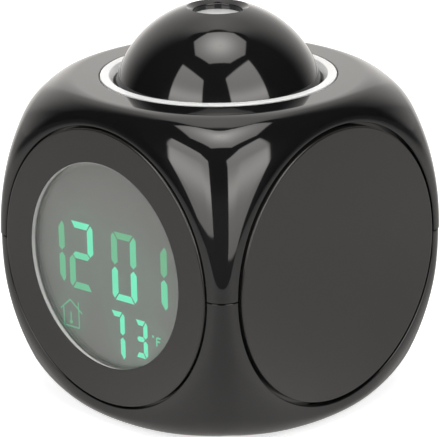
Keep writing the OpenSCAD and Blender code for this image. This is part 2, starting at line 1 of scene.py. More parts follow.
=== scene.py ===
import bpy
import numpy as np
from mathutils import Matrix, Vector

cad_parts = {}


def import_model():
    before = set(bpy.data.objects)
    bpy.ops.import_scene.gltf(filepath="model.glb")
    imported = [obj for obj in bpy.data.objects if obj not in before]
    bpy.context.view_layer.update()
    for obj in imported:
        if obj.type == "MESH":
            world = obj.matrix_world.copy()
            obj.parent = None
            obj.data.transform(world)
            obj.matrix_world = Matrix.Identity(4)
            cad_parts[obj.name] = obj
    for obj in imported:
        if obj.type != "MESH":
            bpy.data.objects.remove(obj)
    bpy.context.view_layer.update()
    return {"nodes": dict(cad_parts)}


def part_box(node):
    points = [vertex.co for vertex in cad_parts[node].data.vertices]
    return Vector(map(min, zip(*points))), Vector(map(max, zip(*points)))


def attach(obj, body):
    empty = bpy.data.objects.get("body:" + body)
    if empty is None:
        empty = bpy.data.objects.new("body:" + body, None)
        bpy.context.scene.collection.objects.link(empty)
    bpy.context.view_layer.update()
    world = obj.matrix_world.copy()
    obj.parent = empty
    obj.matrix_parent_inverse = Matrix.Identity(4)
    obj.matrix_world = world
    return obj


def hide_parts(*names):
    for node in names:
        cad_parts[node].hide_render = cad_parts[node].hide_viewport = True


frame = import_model()

# Projection alarm clock: a rounded cube of black ABS with a round panel in each side, a round
# display, a white trim ring and a press-down dome with the projector's lens in its top.
# Shapes are worked out in housing millimetres, with zero at the middle of the cube, +Z up and
# the display towards -Y, and to_frame() turns them into metres in the frame.

MM = 0.001
MID_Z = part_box("upper_shell")[0].z
PANEL_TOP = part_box("right_side_panel")[1].x / MM

# Housing, in millimetres
HALF = 40.0
WALL = 2.2
WINDOW_R = 34.7
PANEL_R = 33.8
BEZEL_R = 34.25
RIM_ROUND = 0.35
PARTING_ROUND = 0.16
PARTING_GAP = 0.11
PARTING_STEP = 0.14

# Each side of the cube: a flat disc, a tight shoulder round it and a wide crown beyond that,
# swung about the side's own axis. The six sides meet in rounded ridges.
FLAT_R = 34.39
TOP_FLAT_R = 35.17
SHOULDER_R = 9.51
SHOULDER_TURN = np.radians(26.36)
CROWN_R = 37.09
RIDGE = 1.83
RIDGE_POWER = 1.844

# Edges that turn by more than this are shaded sharp
SHARP = np.radians(35.0)


# ---- Arrays to meshes ----

def to_frame(points):
    """Housing millimetres to metres in the row frame."""
    out = np.array(points, float) * MM
    out[..., 2] += MID_Z
    return out


def turned(axes, signs):
    """A turn of local x, y up and z out of a side into housing axes."""
    return lambda p: np.array(p, float)[..., axes] * signs


on_front = turned([0, 2, 1], [1, -1, 1])
on_rear = turned([0, 2, 1], [-1, 1, 1])
on_right = turned([2, 0, 1], [1, 1, 1])
on_left = turned([2, 0, 1], [-1, -1, 1])
upright = turned([0, 1, 2], [1, 1, 1])


def quads(index):
    """The faces between neighbouring points of a grid of point numbers."""
    corners = [index[:-1, :-1], index[:-1, 1:], index[1:, 1:], index[1:, :-1]]
    return np.stack(corners, -1).reshape(-1, 4).tolist()


def skin(lattice, ring=False, poles=(False, False)):
    """Vertices and faces over a lattice whose columns run round the piece.

    ring joins the last row to the first, and a pole closes an end row on its middle point.
    """
    rows, cols = lattice.shape[:2]
    verts = lattice.reshape(-1, 3)
    index = np.arange(rows * cols).reshape(rows, cols)
    index = np.hstack([index, index[:, :1]])
    if ring:
        index = np.vstack([index, index[:1]])
    faces = quads(index)
    for row, turn, closed in ((0, -1, poles[0]), (-1, 1, poles[1])):
        if closed:
            tip = np.full(cols, len(verts))
            verts = np.vstack([verts, lattice[row].mean(0)])
            faces += np.stack([index[row, :-1], index[row, 1:], tip], -1)[:, ::turn].tolist()
    return verts, faces


def volume(verts, faces):
    """Signed volume inside a closed mesh, from the fan of triangles of each face."""
    total = 0.0
    for size in {len(f) for f in faces}:
        corner = verts[np.array([f for f in faces if len(f) == size])]
        for k in range(1, size - 1):
            cross = np.cross(corner[:, k], corner[:, k + 1])
            total += (corner[:, 0] * cross).sum()
    return total / 6


def gather(parts):
    """Several (vertices, faces) pairs as one."""
    verts, faces, start = [], [], 0
    for v, f in parts:
        verts.append(v)
        faces += [[i + start for i in face] for face in f]
        start += len(v)
    return np.vstack(verts), faces


def linked(name, data):
    """A new object in the scene that holds data."""
    made = bpy.data.objects.new(name, data)
    bpy.context.scene.collection.objects.link(made)
    return made


def set_points(mesh, name, values):
    """One number for each point of the mesh, in an attribute that its material reads."""
    attribute = mesh.attributes.new(name, "FLOAT", "POINT")
    attribute.data.foreach_set("value", values.astype(np.float32))


def build(name, parts, finish):
    """A mesh object from (vertices, faces) pairs in housing millimetres, faces outwards."""
    verts, faces = gather(parts)
    if volume(verts, faces) < 0:
        faces = [f[::-1] for f in faces]
    mesh = bpy.data.meshes.new(name)
    mesh.from_pydata(to_frame(verts), [], faces)
    mesh.polygons.foreach_set("use_smooth", np.ones(len(mesh.polygons), bool))
    mesh.set_sharp_from_angle(angle=SHARP)
    mesh.validate()
    mesh.materials.append(finish)
    return linked(name, mesh)


def place(piece, body, slot, *nodes):
    """The piece rides on a body and stands for CAD nodes, which it hides; slot is not used."""
    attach(piece, body)
    if nodes:
        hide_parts(*nodes)


def circle(r, count):
    """(r cos a, r sin a) for count equal steps of a."""
    a = np.arange(count) * 2 * np.pi / count
    return np.stack([r * np.cos(a), r * np.sin(a)], -1)


def ease(x, low, high):
    """0 below low, 1 above high and 3t^2 - 2t^3 between."""
    t = np.clip((x - low) / (high - low), 0, 1)
    return t * t * (3 - 2 * t)


def rounded(points, radii, steps=6):
    """A closed profile with each corner turned into an arc of its own radius.

    The arc touches both sides at radius / tan(half the corner's angle) from the corner, and
    its points are the corner's bisector centre plus the radius turned in equal steps.
    """
    out = []
    count = len(points)
    for k in range(count):
        here = np.array(points[k], float)
        if radii[k] == 0:
            out.append(here)
            continue
        back = np.array(points[k - 1], float) - here
        ahead = np.array(points[(k + 1) % count], float) - here
        back /= np.linalg.norm(back)
        ahead /= np.linalg.norm(ahead)
        half_angle = np.arccos(np.clip(back @ ahead, -1, 1)) / 2
        touch = radii[k] / np.tan(half_angle)
        inward = (back + ahead) / np.linalg.norm(back + ahead)
        middle = here + inward * radii[k] / np.sin(half_angle)
        start = here + back * touch - middle
        end = here + ahead * touch - middle
        turn = np.arctan2(start[0] * end[1] - start[1] * end[0], start @ end)
        for a in np.linspace(0, turn, steps + 1):
            c, s = np.cos(a), np.sin(a)
            swung = [start[0] * c - start[1] * s, start[0] * s + start[1] * c]
            out.append(middle + np.array(swung))
    return np.array(out)


def revolve(profile, segments=256, side=upright, middle=(0.0, 0.0)):
    """A closed (radius, height) profile swung about the local Z axis: (r cos a, r sin a, h).

    A profile that starts and ends on the axis is closed there with poles.
    """
    angle = np.linspace(0, 2 * np.pi, segments, endpoint=False)
    r = profile[:, 0][:, None]
    h = np.broadcast_to(profile[:, 1][:, None], (len(profile), segments))
    points = np.stack([middle[0] + r * np.cos(angle), middle[1] + r * np.sin(angle), h], -1)
    if profile[0, 0] == 0 and profile[-1, 0] == 0:
        return skin(side(points[1:-1]), poles=(True, True))
    return skin(side(points), ring=True)


def prism(outline, z0, z1, side=upright):
    """A flat outline carried straight from z0 to z1, with a cap on each end."""
    n = len(outline)
    low = np.column_stack([outline, np.full(n, z0)])
    high = np.column_stack([outline, np.full(n, z1)])
    faces = [[k, (k + 1) % n, n + (k + 1) % n, n + k] for k in range(n)]
    faces += [list(range(n))[::-1], list(range(n, 2 * n))]
    return side(np.vstack([low, high])), faces


def rounded_box(w, h, r, steps=6):
    """Outline of a w by h rectangle with corners of radius r."""
    corners = [(-w / 2, -h / 2), (w / 2, -h / 2), (w / 2, h / 2), (-w / 2, h / 2)]
    return rounded(corners, [r] * 4, steps)


# ---- Materials ----

def colour(hex_code):
    """An sRGB hex value as linear RGBA."""
    c = np.array([int(hex_code[i:i + 2], 16) for i in (1, 3, 5)]) / 255
    linear = np.where(c <= 0.04045, c / 12.92, ((c + 0.055) / 1.055) ** 2.4)
    return (*linear.tolist(), 1.0)


def add(tree, kind, inputs=None, **settings):
    """Adds a node: settings are its properties, inputs are values or sockets to link."""
    made = tree.nodes.new(kind)
    for key, value in settings.items():
        setattr(made, key, value)
    for key, value in (inputs or {}).items():
        if isinstance(value, bpy.types.NodeSocket):
            tree.links.new(value, made.inputs[key])
        else:
            made.inputs[key].default_value = value
    return made


def link(tree, socket, target, key):
    tree.links.new(socket, target.inputs[key])


def fresh_tree(owner):
    """The emptied node tree of a material or world."""
    owner.use_nodes = True
    owner.node_tree.nodes.clear()
    return owner.node_tree


def start_material(name, shader):
    """A material with one Principled shader whose plain sockets are set, and its coordinates."""
    made = bpy.data.materials.new(name)
    tree = fresh_tree(made)
    surface = add(tree, "ShaderNodeBsdfPrincipled", shader)
    add(tree, "ShaderNodeOutputMaterial", {"Surface": surface.outputs["BSDF"]})
    return made, tree, surface, add(tree, "ShaderNodeTexCoord").outputs["Object"]


def patches(tree, at, size_mm, tones):
    """Soft patches of two tones, one patch per size_mm."""
    cloud = add(tree, "ShaderNodeTexNoise", {
        "Vector": at, "Scale": 1 / (size_mm * MM), "Detail": 3.0,
    })
    mix = add(tree, "ShaderNodeMix", {
        "Factor": cloud.outputs["Fac"], "A": colour(tones[0]), "B": colour(tones[1]),
    }, data_type="RGBA")
    return mix.outputs["Result"]


def made_of(name, shader, tones=None, patch_mm=9.0, smudges=None, relief=None):
    """A material whose surface varies as the real one's does.

    Its colour drifts between two tones in patches of patch_mm. smudges are the size in mm, the
    detail, and the lowest and highest value of its roughness, and relief is the size in mm, the
    detail and the height in mm of its bumps.
    """
    made, tree, surface, at = start_material(name, shader)
    if tones:
        link(tree, patches(tree, at, patch_mm, tones), surface, "Base Color")
    if smudges:
        size_mm, detail, low, high = smudges
        cloud = add(tree, "ShaderNodeTexNoise", {
            "Vector": at, "Scale": 1 / (size_mm * MM), "Detail": detail,
        })
        rough = add(tree, "ShaderNodeMapRange", {
            "Value": cloud.outputs["Fac"], "To Min": low, "To Max": high,
        })
        link(tree, rough.outputs["Result"], surface, "Roughness")
    if relief:
        size_mm, detail, height_mm = relief
        cloud = add(tree, "ShaderNodeTexNoise", {
            "Vector": at, "Scale": 1 / (size_mm * MM), "Detail": detail,
        })
        bump = add(tree, "ShaderNodeBump", {
            "Height": cloud.outputs["Fac"], "Distance": height_mm * MM,
        })
        link(tree, bump.outputs["Normal"], surface, "Normal")
    return made


def moulded_abs(name, tones, roughness, wave_mm=0.002):
    """Injection-moulded ABS: even in colour, with the faint waves of the mould in its gloss."""
    smudges = (14.0, 4.0, roughness * 0.7, roughness * 1.3)
    return made_of(name, {"IOR": 1.5}, tones, 9.0, smudges, (6.0, 1.0, wave_mm))


def dull(name, tones, patch_mm, roughness):
    """A small inner piece: two close tones in patches, one roughness."""
    return made_of(name, {"IOR": 1.5, "Roughness": roughness}, tones, patch_mm)


# Gloss-black ABS from a polished mould: almost black, a hard clear reflection.
GLOSS_ABS = moulded_abs("gloss_black_abs", ("#131314", "#171718"), 0.05)
# The round panels come from a plainer mould: a shade paler, with a soft reflection.
PANEL_ABS = moulded_abs("panel_black_abs", ("#222120", "#262524"), 0.18)
# Black ABS from an unpolished mould, for the pieces inside: satin.
INNER_ABS = moulded_abs("satin_black_abs", ("#151515", "#202020"), 0.45, 0.01)
# White ABS: bright, with a soft gloss.
WHITE_ABS = moulded_abs("white_abs", ("#f0f0ee", "#f6f6f5"), 0.3)
# The display's liner is an unpolished white, a shade greyer.
LINER_ABS = moulded_abs("liner_white_abs", ("#d2d2cf", "#dadad7"), 0.4)
# Polished clear acrylic: what lies behind shows, with a thin reflection over it.
WINDOW_ACRYLIC = made_of(
    "window_acrylic", {"IOR": 1.49, "Transmission Weight": 1.0, "Base Color": colour("#f4f6f5")},
    smudges=(7.0, 3.0, 0.0, 0.03),
)
# Acrylic lens with a frosted face that spreads the projector's light: milky white, soft gloss.
LENS_ACRYLIC = made_of(
    "frosted_acrylic", {"IOR": 1.49}, ("#dadbd9", "#e6e7e5"), 2.5, (1.5, 3.0, 0.06, 0.14)
)
# Moulded rubber: dull black with a fine grain.
RUBBER = made_of(
    "moulded_rubber", {"IOR": 1.5, "Roughness": 0.75}, ("#1c1c1c", "#2b2b2b"), 1.2,
    relief=(0.4, 2.0, 0.03),
)
# Zinc-plated steel: bright grey metal, a little cloudy.
STEEL = made_of(
    "zinc_plated_steel", {"Metallic": 1.0}, ("#9a9c9e", "#c4c6c6"), 2.0, (0.5, 2.0, 0.2, 0.42)
)
# Green solder mask over glass cloth: a faint weave under a soft gloss.
BOARD = dull("green_solder_mask", ("#0e3d20", "#14512b"), 1.5, 0.35)
# Cast epoxy over chips: black, half gloss.
RESIN = dull("cast_epoxy", ("#0d0d0d", "#1a1a1a"), 2.0, 0.3)
# Clear LED epoxy, seen milky over its phosphor.
LED_EPOXY = dull("led_epoxy", ("#e9e6cf", "#f4f2e4"), 1.0, 0.2)
# Shrink sleeve of a battery cell: green, tight and glossy.
SLEEVE = dull("battery_sleeve", ("#2c5a3c", "#356b48"), 5.0, 0.25)
# Foam gasket: white, open-pored and dull.
FOAM = dull("white_gasket_foam", ("#c4c4c0", "#d2d2ce"), 0.6, 0.8)
# Coated paper of the speaker's cone: black and dull.
PAPER = dull("coated_paper", ("#191919", "#262626"), 0.8, 0.8)


def lcd_grey():
    """Display glass: flat grey, with a pale ring round its rim painted to lift the shade under the
    bezel, and backlight seeping round digits.
    """
    made, tree, surface, at = start_material("lcd_glass", {
        "IOR": 1.5, "Roughness": 0.25, "Emission Color": colour("#63e0b0"),
    })
    # The pale rim is painted light: it lifts the shade that the bezel's lip casts on the display's
    # edge.
    border = add(tree, "ShaderNodeAttribute", attribute_name="border")
    painted_light_rim = add(tree, "ShaderNodeMix", {
        "Factor": border.outputs["Fac"], "A": patches(tree, at, 12.0, ("#7f7f7d", "#878785")),
        "B": colour("#b4b4b0"),
    }, data_type="RGBA")
    link(tree, painted_light_rim.outputs["Result"], surface, "Base Color")
    glow = add(tree, "ShaderNodeAttribute", attribute_name="glow")
    seeping = add(tree, "ShaderNodeMapRange", {"Value": glow.outputs["Fac"], "To Max": 0.04})
    link(tree, seeping.outputs["Result"], surface, "Emission Strength")
    return made


def lit_segment():
    """Backlit display segments: mint green, some driven harder than others."""
    made, tree, surface, at = start_material("lit_segment", {
        "IOR": 1.5, "Roughness": 0.3, "Base Color": colour("#2a5a48"),
    })
    drive = add(tree, "ShaderNodeAttribute", attribute_name="drive")
    mint = add(tree, "ShaderNodeMix", {
        "Factor": drive.outputs["Fac"], "A": colour("#5cab7c"), "B": colour("#66f0c0"),
    }, data_type="RGBA")
    link(tree, mint.outputs["Result"], surface, "Emission Color")
    cloud = add(tree, "ShaderNodeTexNoise", {"Vector": at, "Scale": 1 / (3 * MM)})
    wobble = add(tree, "ShaderNodeMapRange", {
        "Value": cloud.outputs["Fac"], "To Min": 0.92, "To Max": 1.04,
    })
    link(tree, wobble.outputs["Result"], surface, "Emission Strength")
    return made


LCD_GREY = lcd_grey()
LIT_SEGMENT = lit_segment()


# ---- Housing form ----

def off_side(r, out, flat_r):
    """Distance of a point from one swung side: r from its axis and out from the centre.

    Over the flat it is out - HALF, then the distance from the shoulder's circle, then the
    distance from the crown's circle, whose centre lies on the shoulder's last radius.
    """
    turn = np.arctan2(r - flat_r, out - HALF + SHOULDER_R)
    shoulder = np.hypot(r - flat_r, out - HALF + SHOULDER_R) - SHOULDER_R
    back = CROWN_R - SHOULDER_R
    crown_r = flat_r - back * np.sin(SHOULDER_TURN)
    crown_out = HALF - SHOULDER_R - back * np.cos(SHOULDER_TURN)
    crown = np.hypot(r - crown_r, out - crown_out) - CROWN_R
    return np.where(r < flat_r, out - HALF, np.where(turn < SHOULDER_TURN, shoulder, crown))


def off_form(p, inset=0.0):
    """Distance off the housing: the power mean of the distances off the sides near a ridge.

    For an inner wall, each side lies inset deeper before the mean is taken.
    """
    a = np.abs(p)
    total = 0.0
    for k, flat_r in enumerate((FLAT_R, FLAT_R, TOP_FLAT_R)):
        r = np.hypot(a[..., k - 1], a[..., k - 2])
        off = off_side(r, a[..., k], flat_r) + inset
        total = total + np.maximum(off + RIDGE, 0) ** RIDGE_POWER
    return total ** (1 / RIDGE_POWER) - RIDGE


NEWTON_START = 60.0
NEWTON_STEP = 1e-3
NEWTON_ROUNDS = 12
HALVINGS = 44


def on_form(p, inset=0.0):
    """The surface point in the direction of p, or the one inset below it, by Newton's method."""
    u = p / np.linalg.norm(p, axis=-1, keepdims=True)
    s = np.full(p.shape[:-1] + (1,), NEWTON_START)
    for _ in range(NEWTON_ROUNDS):
        here = off_form(u * s, inset)[..., None]
        slope = (off_form(u * (s + NEWTON_STEP), inset)[..., None] - here) / NEWTON_STEP
        s = s - here / np.maximum(slope, 0.2)
    return u * s


def out_along(axis, a, b, inset=0.0):
    """The surface point with a and b as its other coordinates, by halving the range of this one."""
    def point(along):
        return np.stack([a, b, along] if axis == 2 else [along, a, b], -1)

    low, high = np.zeros_like(a), np.full_like(a, HALF + 1)
    for _ in range(HALVINGS):
        along = (low + high) / 2
        inside = off_form(point(along), inset) < 0
        low = np.where(inside, along, low)
        high = np.where(inside, high, along)
    return point(low)


# Columns of a shell's mesh: along each window's arc and along the parting line of each corner
ARC_COLUMNS = 74
STRIP_COLUMNS = 12


def quarter_edge():
    """The lower edge of the upper shell over one corner, from the +X window's top to the +Y one's.

    It follows the first window's arc (r cos t, r sin t), then the parting line on the cube's
    edge, then the second window's arc. Each column gives the outer edge, the point where its
    rounding starts on the outer surface, the inner edge and the rounding's size.
    """
    def strip(window_end, inset):
        """Points on the form at z = 0, from the window's end to the middle of the corner."""
        window_turn = np.arctan2(window_end[1], window_end[0])
        turn = np.linspace(window_turn, np.pi / 4, STRIP_COLUMNS // 2 + 1)
        return on_form(np.stack([np.cos(turn), np.sin(turn), 0 * turn], -1)[1:], inset)

    def raised(points, z, inset=0.0):
        return on_form(points + np.array([0, 0, z]), inset)

    t = np.linspace(np.pi / 2, np.arcsin(PARTING_GAP / WINDOW_R), ARC_COLUMNS + 1)
    grown = WINDOW_R + RIM_ROUND
    z = np.maximum(grown * np.sin(t), PARTING_GAP + PARTING_ROUND)
    outer = out_along(0, WINDOW_R * np.cos(t), WINDOW_R * np.sin(t))
    start = out_along(0, grown * np.cos(t), z)
    inner = out_along(0, WINDOW_R * np.cos(t), WINDOW_R * np.sin(t), WALL)
    rim, rim_inner = strip(outer[-1], 0.0), strip(inner[-1], WALL)
    half = [
        np.vstack([outer, raised(rim, PARTING_GAP)]),
        np.vstack([start, raised(rim, PARTING_GAP + PARTING_ROUND)]),
        np.vstack([inner, raised(rim_inner, PARTING_GAP, WALL)]),
    ]
    size = np.append(np.full(len(t), RIM_ROUND), np.full(len(rim), PARTING_ROUND))
    second = slice(-2, 0, -1)
    return *(np.vstack([h, h[second][:, [1, 0, 2]]]) for h in half), np.append(size, size[second])


def all_round(quarter):
    """The quarter's columns turned by 0, 90, 180 and 270 degrees."""
    x, y, z = quarter[:, 0], quarter[:, 1], quarter[:, 2]
    turns = [(x, y), (-y, x), (-x, -y), (y, -x)]
    return np.vstack([np.stack([a, b, z], -1) for a, b in turns])


def between(a, b, rows, inset=0.0):
    """Rows on the form from points a to points b, closer together near both ends."""
    t = np.linspace(0, 1, rows)[:, None, None]
    t = 0.5 * t + 0.25 * (1 - np.cos(np.pi * t))
    u = a / np.linalg.norm(a, axis=-1, keepdims=True)
    w = b / np.linalg.norm(b, axis=-1, keepdims=True)
    return on_form((1 - t) * u + t * w, inset)


def edge_round(outer, start, inner, size, steps=5):
    """Quarter-round from the outer surface into the wall: (1 - sin a) and (1 - cos a) shares."""
    into = inner - outer
    into /= np.linalg.norm(into, axis=-1, keepdims=True)
    a = np.linspace(0, np.pi / 2, steps + 1)[1:, None, None]
    return outer + (1 - np.sin(a)) * (start - outer) + (1 - np.cos(a)) * size[:, None] * into


def circle_row(r, z, columns):
    """A level circle of radius r at height z."""
    return np.column_stack([circle(r, columns), np.full(columns, z)])


def form_circle(r, columns, inset=0.0):
    """A level circle of radius r on the top of the form."""
    return out_along(2, *circle(r, columns).T, inset)


# The trim ring's seat in the top, and the bore below it for the dome
SEAT_R = 29.15
SEAT_Z = 38.3
SEAT_ROUND = 0.25
BORE_R = 28.0
ROWS_OUTSIDE = 88
ROWS_INSIDE = 14
# The base is closed from a circle of this radius towards its middle
BASE_R = 12.0
SHRINK_REACH = 14.0


def shell_edges():
    """The quarter's edges and rounding sizes, all the way round."""
    *edges, size = quarter_edge()
    return *(all_round(edge) for edge in edges), np.tile(size, 4)


def upper_shell():
    """Upper half: round the lower edge, over the form, down the ring's seat and back inside."""
    outer, start, inner, size = shell_edges()
    columns = len(outer)
    top = form_circle(SEAT_R + SEAT_ROUND, columns)
    a = np.linspace(0, np.pi / 2, 5)[1:, None, None]
    top_edge = circle_row(SEAT_R, top[0, 2], columns)
    down = np.array([0, 0, -SEAT_ROUND])
    rows = [
        edge_round(outer, start, inner, size)[::-1],
        between(start, top, ROWS_OUTSIDE),
        top_edge + (1 - np.sin(a)) * (top - top_edge) + (1 - np.cos(a)) * down,
        circle_row(SEAT_R, SEAT_Z, columns)[None],
        circle_row(BORE_R, SEAT_Z, columns)[None],
        between(form_circle(BORE_R, columns, WALL), inner, ROWS_INSIDE, WALL),
    ]
    return skin(np.concatenate(rows), ring=True)


def lower_shell():
    """Lower half: the same edge turned upside down, and the form closed under the base.

    It shrank a little more in its mould: near the parting line x and y are PARTING_STEP smaller.
    """
    outer, start, inner, size = shell_edges()
    columns = len(outer)
    base = form_circle(BASE_R, columns)
    base_in = form_circle(BASE_R, columns, WALL)
    shrink = np.linspace(1, 0.08, 8)[1:, None, None] * np.array([1, 1, 0]) + np.array([0, 0, 1])
    rows = [
        (base_in * shrink)[::-1],
        between(base_in, inner, ROWS_INSIDE, WALL),
        edge_round(outer, start, inner, size)[::-1],
        between(start, base, ROWS_OUTSIDE),
        base * shrink,
    ]
    lattice = np.concatenate(rows) * np.array([1, 1, -1])
    lattice[..., :2] *= 1 - PARTING_STEP / HALF * (1 - ease(-lattice[..., 2:], 0, SHRINK_REACH))
    return skin(lattice, poles=(True, True))


# Screws, feet and sound holes of the base
SCREW_WELLS = [(30, 28.5), (-30, 28.5), (27.5, -25.5), (-27.5, -25.5)]
SCREW_SEAT = -15.5
WELL_R = 2.9
COLUMN_FOOT = 0.6
COLUMN_HEAD_R = 3.7
COLUMN_HEAD_TOP = SCREW_SEAT + 1
COLUMN_R = 3.0
COLUMN_SIDES = 48
LINING_R = WELL_R - 0.05
SCREW_CLEAR_R = 1.6
FOOT_AT = 21.0
FOOT_R = 4.0
FOOT_SUNK = 0.8
FOOT_GAP = 0.15
FOOT_H = 0.8
HOLE_PITCH = 3.6
HOLE_R = 1.0
HOLE_TOP = -30
# Cutting tools start this far below the middle of the cube, outside the base
BELOW = -60


def screw_column(x, y):
    """Column round a screw, with a well that is open below.

    Its foot follows the form COLUMN_FOOT inside the base's outer surface.
    """
    def foot(r):
        at = circle(r, COLUMN_SIDES) + np.array([x, y])
        return out_along(2, *at.T, COLUMN_FOOT) * np.array([1, 1, -1])

    def level(r, z):
        return circle_row(r, z, COLUMN_SIDES) + np.array([x, y, 0])

    return skin(np.stack([
        foot(COLUMN_HEAD_R), level(COLUMN_HEAD_R, COLUMN_HEAD_TOP),
        level(COLUMN_R, COLUMN_HEAD_TOP), level(COLUMN_R, -PARTING_GAP),
        level(SCREW_CLEAR_R, -PARTING_GAP), level(SCREW_CLEAR_R, SCREW_SEAT),
        level(LINING_R, SCREW_SEAT), foot(LINING_R),
    ]), ring=True)


def cut(piece, tools):
    """Takes the closed tool meshes out of a piece."""
    cutter = build(piece.name + "_tools", tools, INNER_ABS)
    boolean = piece.modifiers.new("cut", "BOOLEAN")
    boolean.object = cutter
    boolean.operation = "DIFFERENCE"
    boolean.solver = "EXACT"
    graph = bpy.context.evaluated_depsgraph_get()
    done = bpy.data.meshes.new_from_object(piece.evaluated_get(graph))
    spent = [piece.data, cutter.data]
    piece.modifiers.clear()
    piece.data = done
    done.name = piece.name
    done.set_sharp_from_angle(angle=SHARP)
    bpy.data.objects.remove(cutter)
    for mesh in spent:
        bpy.data.meshes.remove(mesh)


def drill(r, z0, z1, x=0.0, y=0.0, segments=48, side=upright):
    """A plain cylinder used as a cutting tool."""
    return prism(circle(r, segments) + np.array([x, y]), z0, z1, side)


shell_top = build("upper_shell_skin", [upper_shell()], GLOSS_ABS)
place(shell_top, "housing", "gloss_abs", "upper_shell")

feet_at = [(FOOT_AT * sx, FOOT_AT * sy) for sx in (-1, 1) for sy in (-1, 1)]
base_tools = [drill(WELL_R, BELOW, SCREW_SEAT, x, y) for x, y in SCREW_WELLS]
base_tools += [drill(FOOT_R + FOOT_GAP, BELOW, FOOT_SUNK - HALF, x, y) for x, y in feet_at]
base_tools.append(drill(HOLE_R, BELOW, HOLE_TOP))
for ring in (1, 2):
    for x, y in circle(ring * HOLE_PITCH, 6 * ring):
        base_tools.append(drill(HOLE_R, BELOW, HOLE_TOP, x, y, 24))
shell_base = build("lower_shell_skin", [lower_shell()], GLOSS_ABS)
cut(shell_base, base_tools)
place(shell_base, "housing", "gloss_abs", "lower_shell")
columns = [screw_column(x, y) for x, y in SCREW_WELLS]
place(build("screw_columns", columns, GLOSS_ABS), "housing", "gloss_abs")

foot_profile = rounded(
    [
        (0, -HALF - FOOT_H), (FOOT_R, -HALF - FOOT_H),
        (FOOT_R, FOOT_SUNK - HALF), (0, FOOT_SUNK - HALF),
    ],
    [0, 0.35, 0, 0],
)
feet = [revolve(foot_profile, 64, middle=at) for at in feet_at]
place(build("rubber_feet_round", feet, RUBBER), "housing", "soft_rubber", "rubber_feet")


# ---- Round panels ----

PANEL_BACK = PANEL_TOP - 2.2
PANEL_ROUND = 0.4
FLAT_IN = 0.5


def panel(side):
    """A flat disc with a rounded rim; a ring of points FLAT_IN from the rim keeps the face flat."""
    profile = rounded(
        [
            (0, PANEL_BACK), (PANEL_R, PANEL_BACK), (PANEL_R, PANEL_TOP),
            (PANEL_R - FLAT_IN, PANEL_TOP), (0, PANEL_TOP),
        ],
        [0, 0, PANEL_ROUND, 0, 0],
    )
    return revolve(profile, 288, side)


right_disc = build("right_panel_disc", [panel(on_right)], PANEL_ABS)
place(right_disc, "housing", "gloss_abs", "right_side_panel")
left_disc = build("left_panel_disc", [panel(on_left)], PANEL_ABS)
place(left_disc, "housing", "gloss_abs", "left_side_panel")


# ---- Display ----

DISPLAY_R = 25.45
WINDOW_LOW, WINDOW_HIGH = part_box("display_window")
WINDOW_FACE = WINDOW_LOW.y / -MM
WINDOW_BACK = WINDOW_HIGH.y / -MM
WINDOW_EDGE = (WINDOW_HIGH.x - WINDOW_LOW.x) / 2 / MM
WINDOW_GAP = 0.2

# The liner stands round the window, LIP below the bezel's face. Neither its ring nor the bezel's
# opening is quite in the middle of the bezel.
LINER_R = DISPLAY_R + 0.6
LINER_IN = DISPLAY_R + 0.15
LINER_GAP = 0.25
LIP = 0.15
OPENING_AT = np.array([0.4, 0.6, 0.0])
LINER_AT = OPENING_AT - np.array([0, 0.25, 0])


def round_opening(p):
    """On the front, with all that lies within the liner's radius moved by OPENING_AT."""
    inside = np.hypot(p[..., 0], p[..., 1]) < LINER_R + 0.3
    return on_front(p + inside[..., None] * OPENING_AT)


def round_liner(p):
    """On the front, moved by LINER_AT."""
    return on_front(p + LINER_AT)


bezel_profile = rounded(
    [
        (BEZEL_R, PANEL_BACK), (BEZEL_R, PANEL_TOP), (BEZEL_R - FLAT_IN, PANEL_TOP),
        (DISPLAY_R + 0.2, PANEL_TOP), (DISPLAY_R, PANEL_TOP), (DISPLAY_R, PANEL_TOP - LIP),
        (LINER_R + LINER_GAP, PANEL_TOP - LIP), (LINER_R + LINER_GAP, WINDOW_FACE),
        (WINDOW_EDGE + WINDOW_GAP, WINDOW_FACE), (WINDOW_EDGE + WINDOW_GAP, PANEL_BACK),
    ],
    [0, PANEL_ROUND, 0, 0, 0.1, 0, 0, 0, 0, 0],
)
bezel = build("bezel_ring", [revolve(bezel_profile, 288, round_opening)], PANEL_ABS)
place(bezel, "housing", "gloss_abs", "front_bezel")

window_profile = np.array([
    (0, WINDOW_BACK), (WINDOW_EDGE, WINDOW_BACK), (WINDOW_EDGE, WINDOW_FACE), (0, WINDOW_FACE),
])
window = build("display_cover", [revolve(window_profile, 192, on_front)], WINDOW_ACRYLIC)
place(window, "housing", "clear_acrylic", "display_window")

LCD_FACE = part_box("lcd_glass")[0].y / -MM
LCD_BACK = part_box("lcd_glass")[1].y / -MM
LCD_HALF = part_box("lcd_glass")[1].x / MM
LCD_CORNER = 35.1 * np.sqrt(2)
SEGMENT_T = 0.04
SEGMENT_GAP = 0.16
DISPLAY_TILT = 0.038
DISPLAY_LEAN = 0.014
DIGIT_MID = 0.95
GLOW_WIDTH = 2.16
GLOW_GROWTH = 1.08
# How far in from the display's edge the painted light of its rim starts
BORDER_IN = 0.9


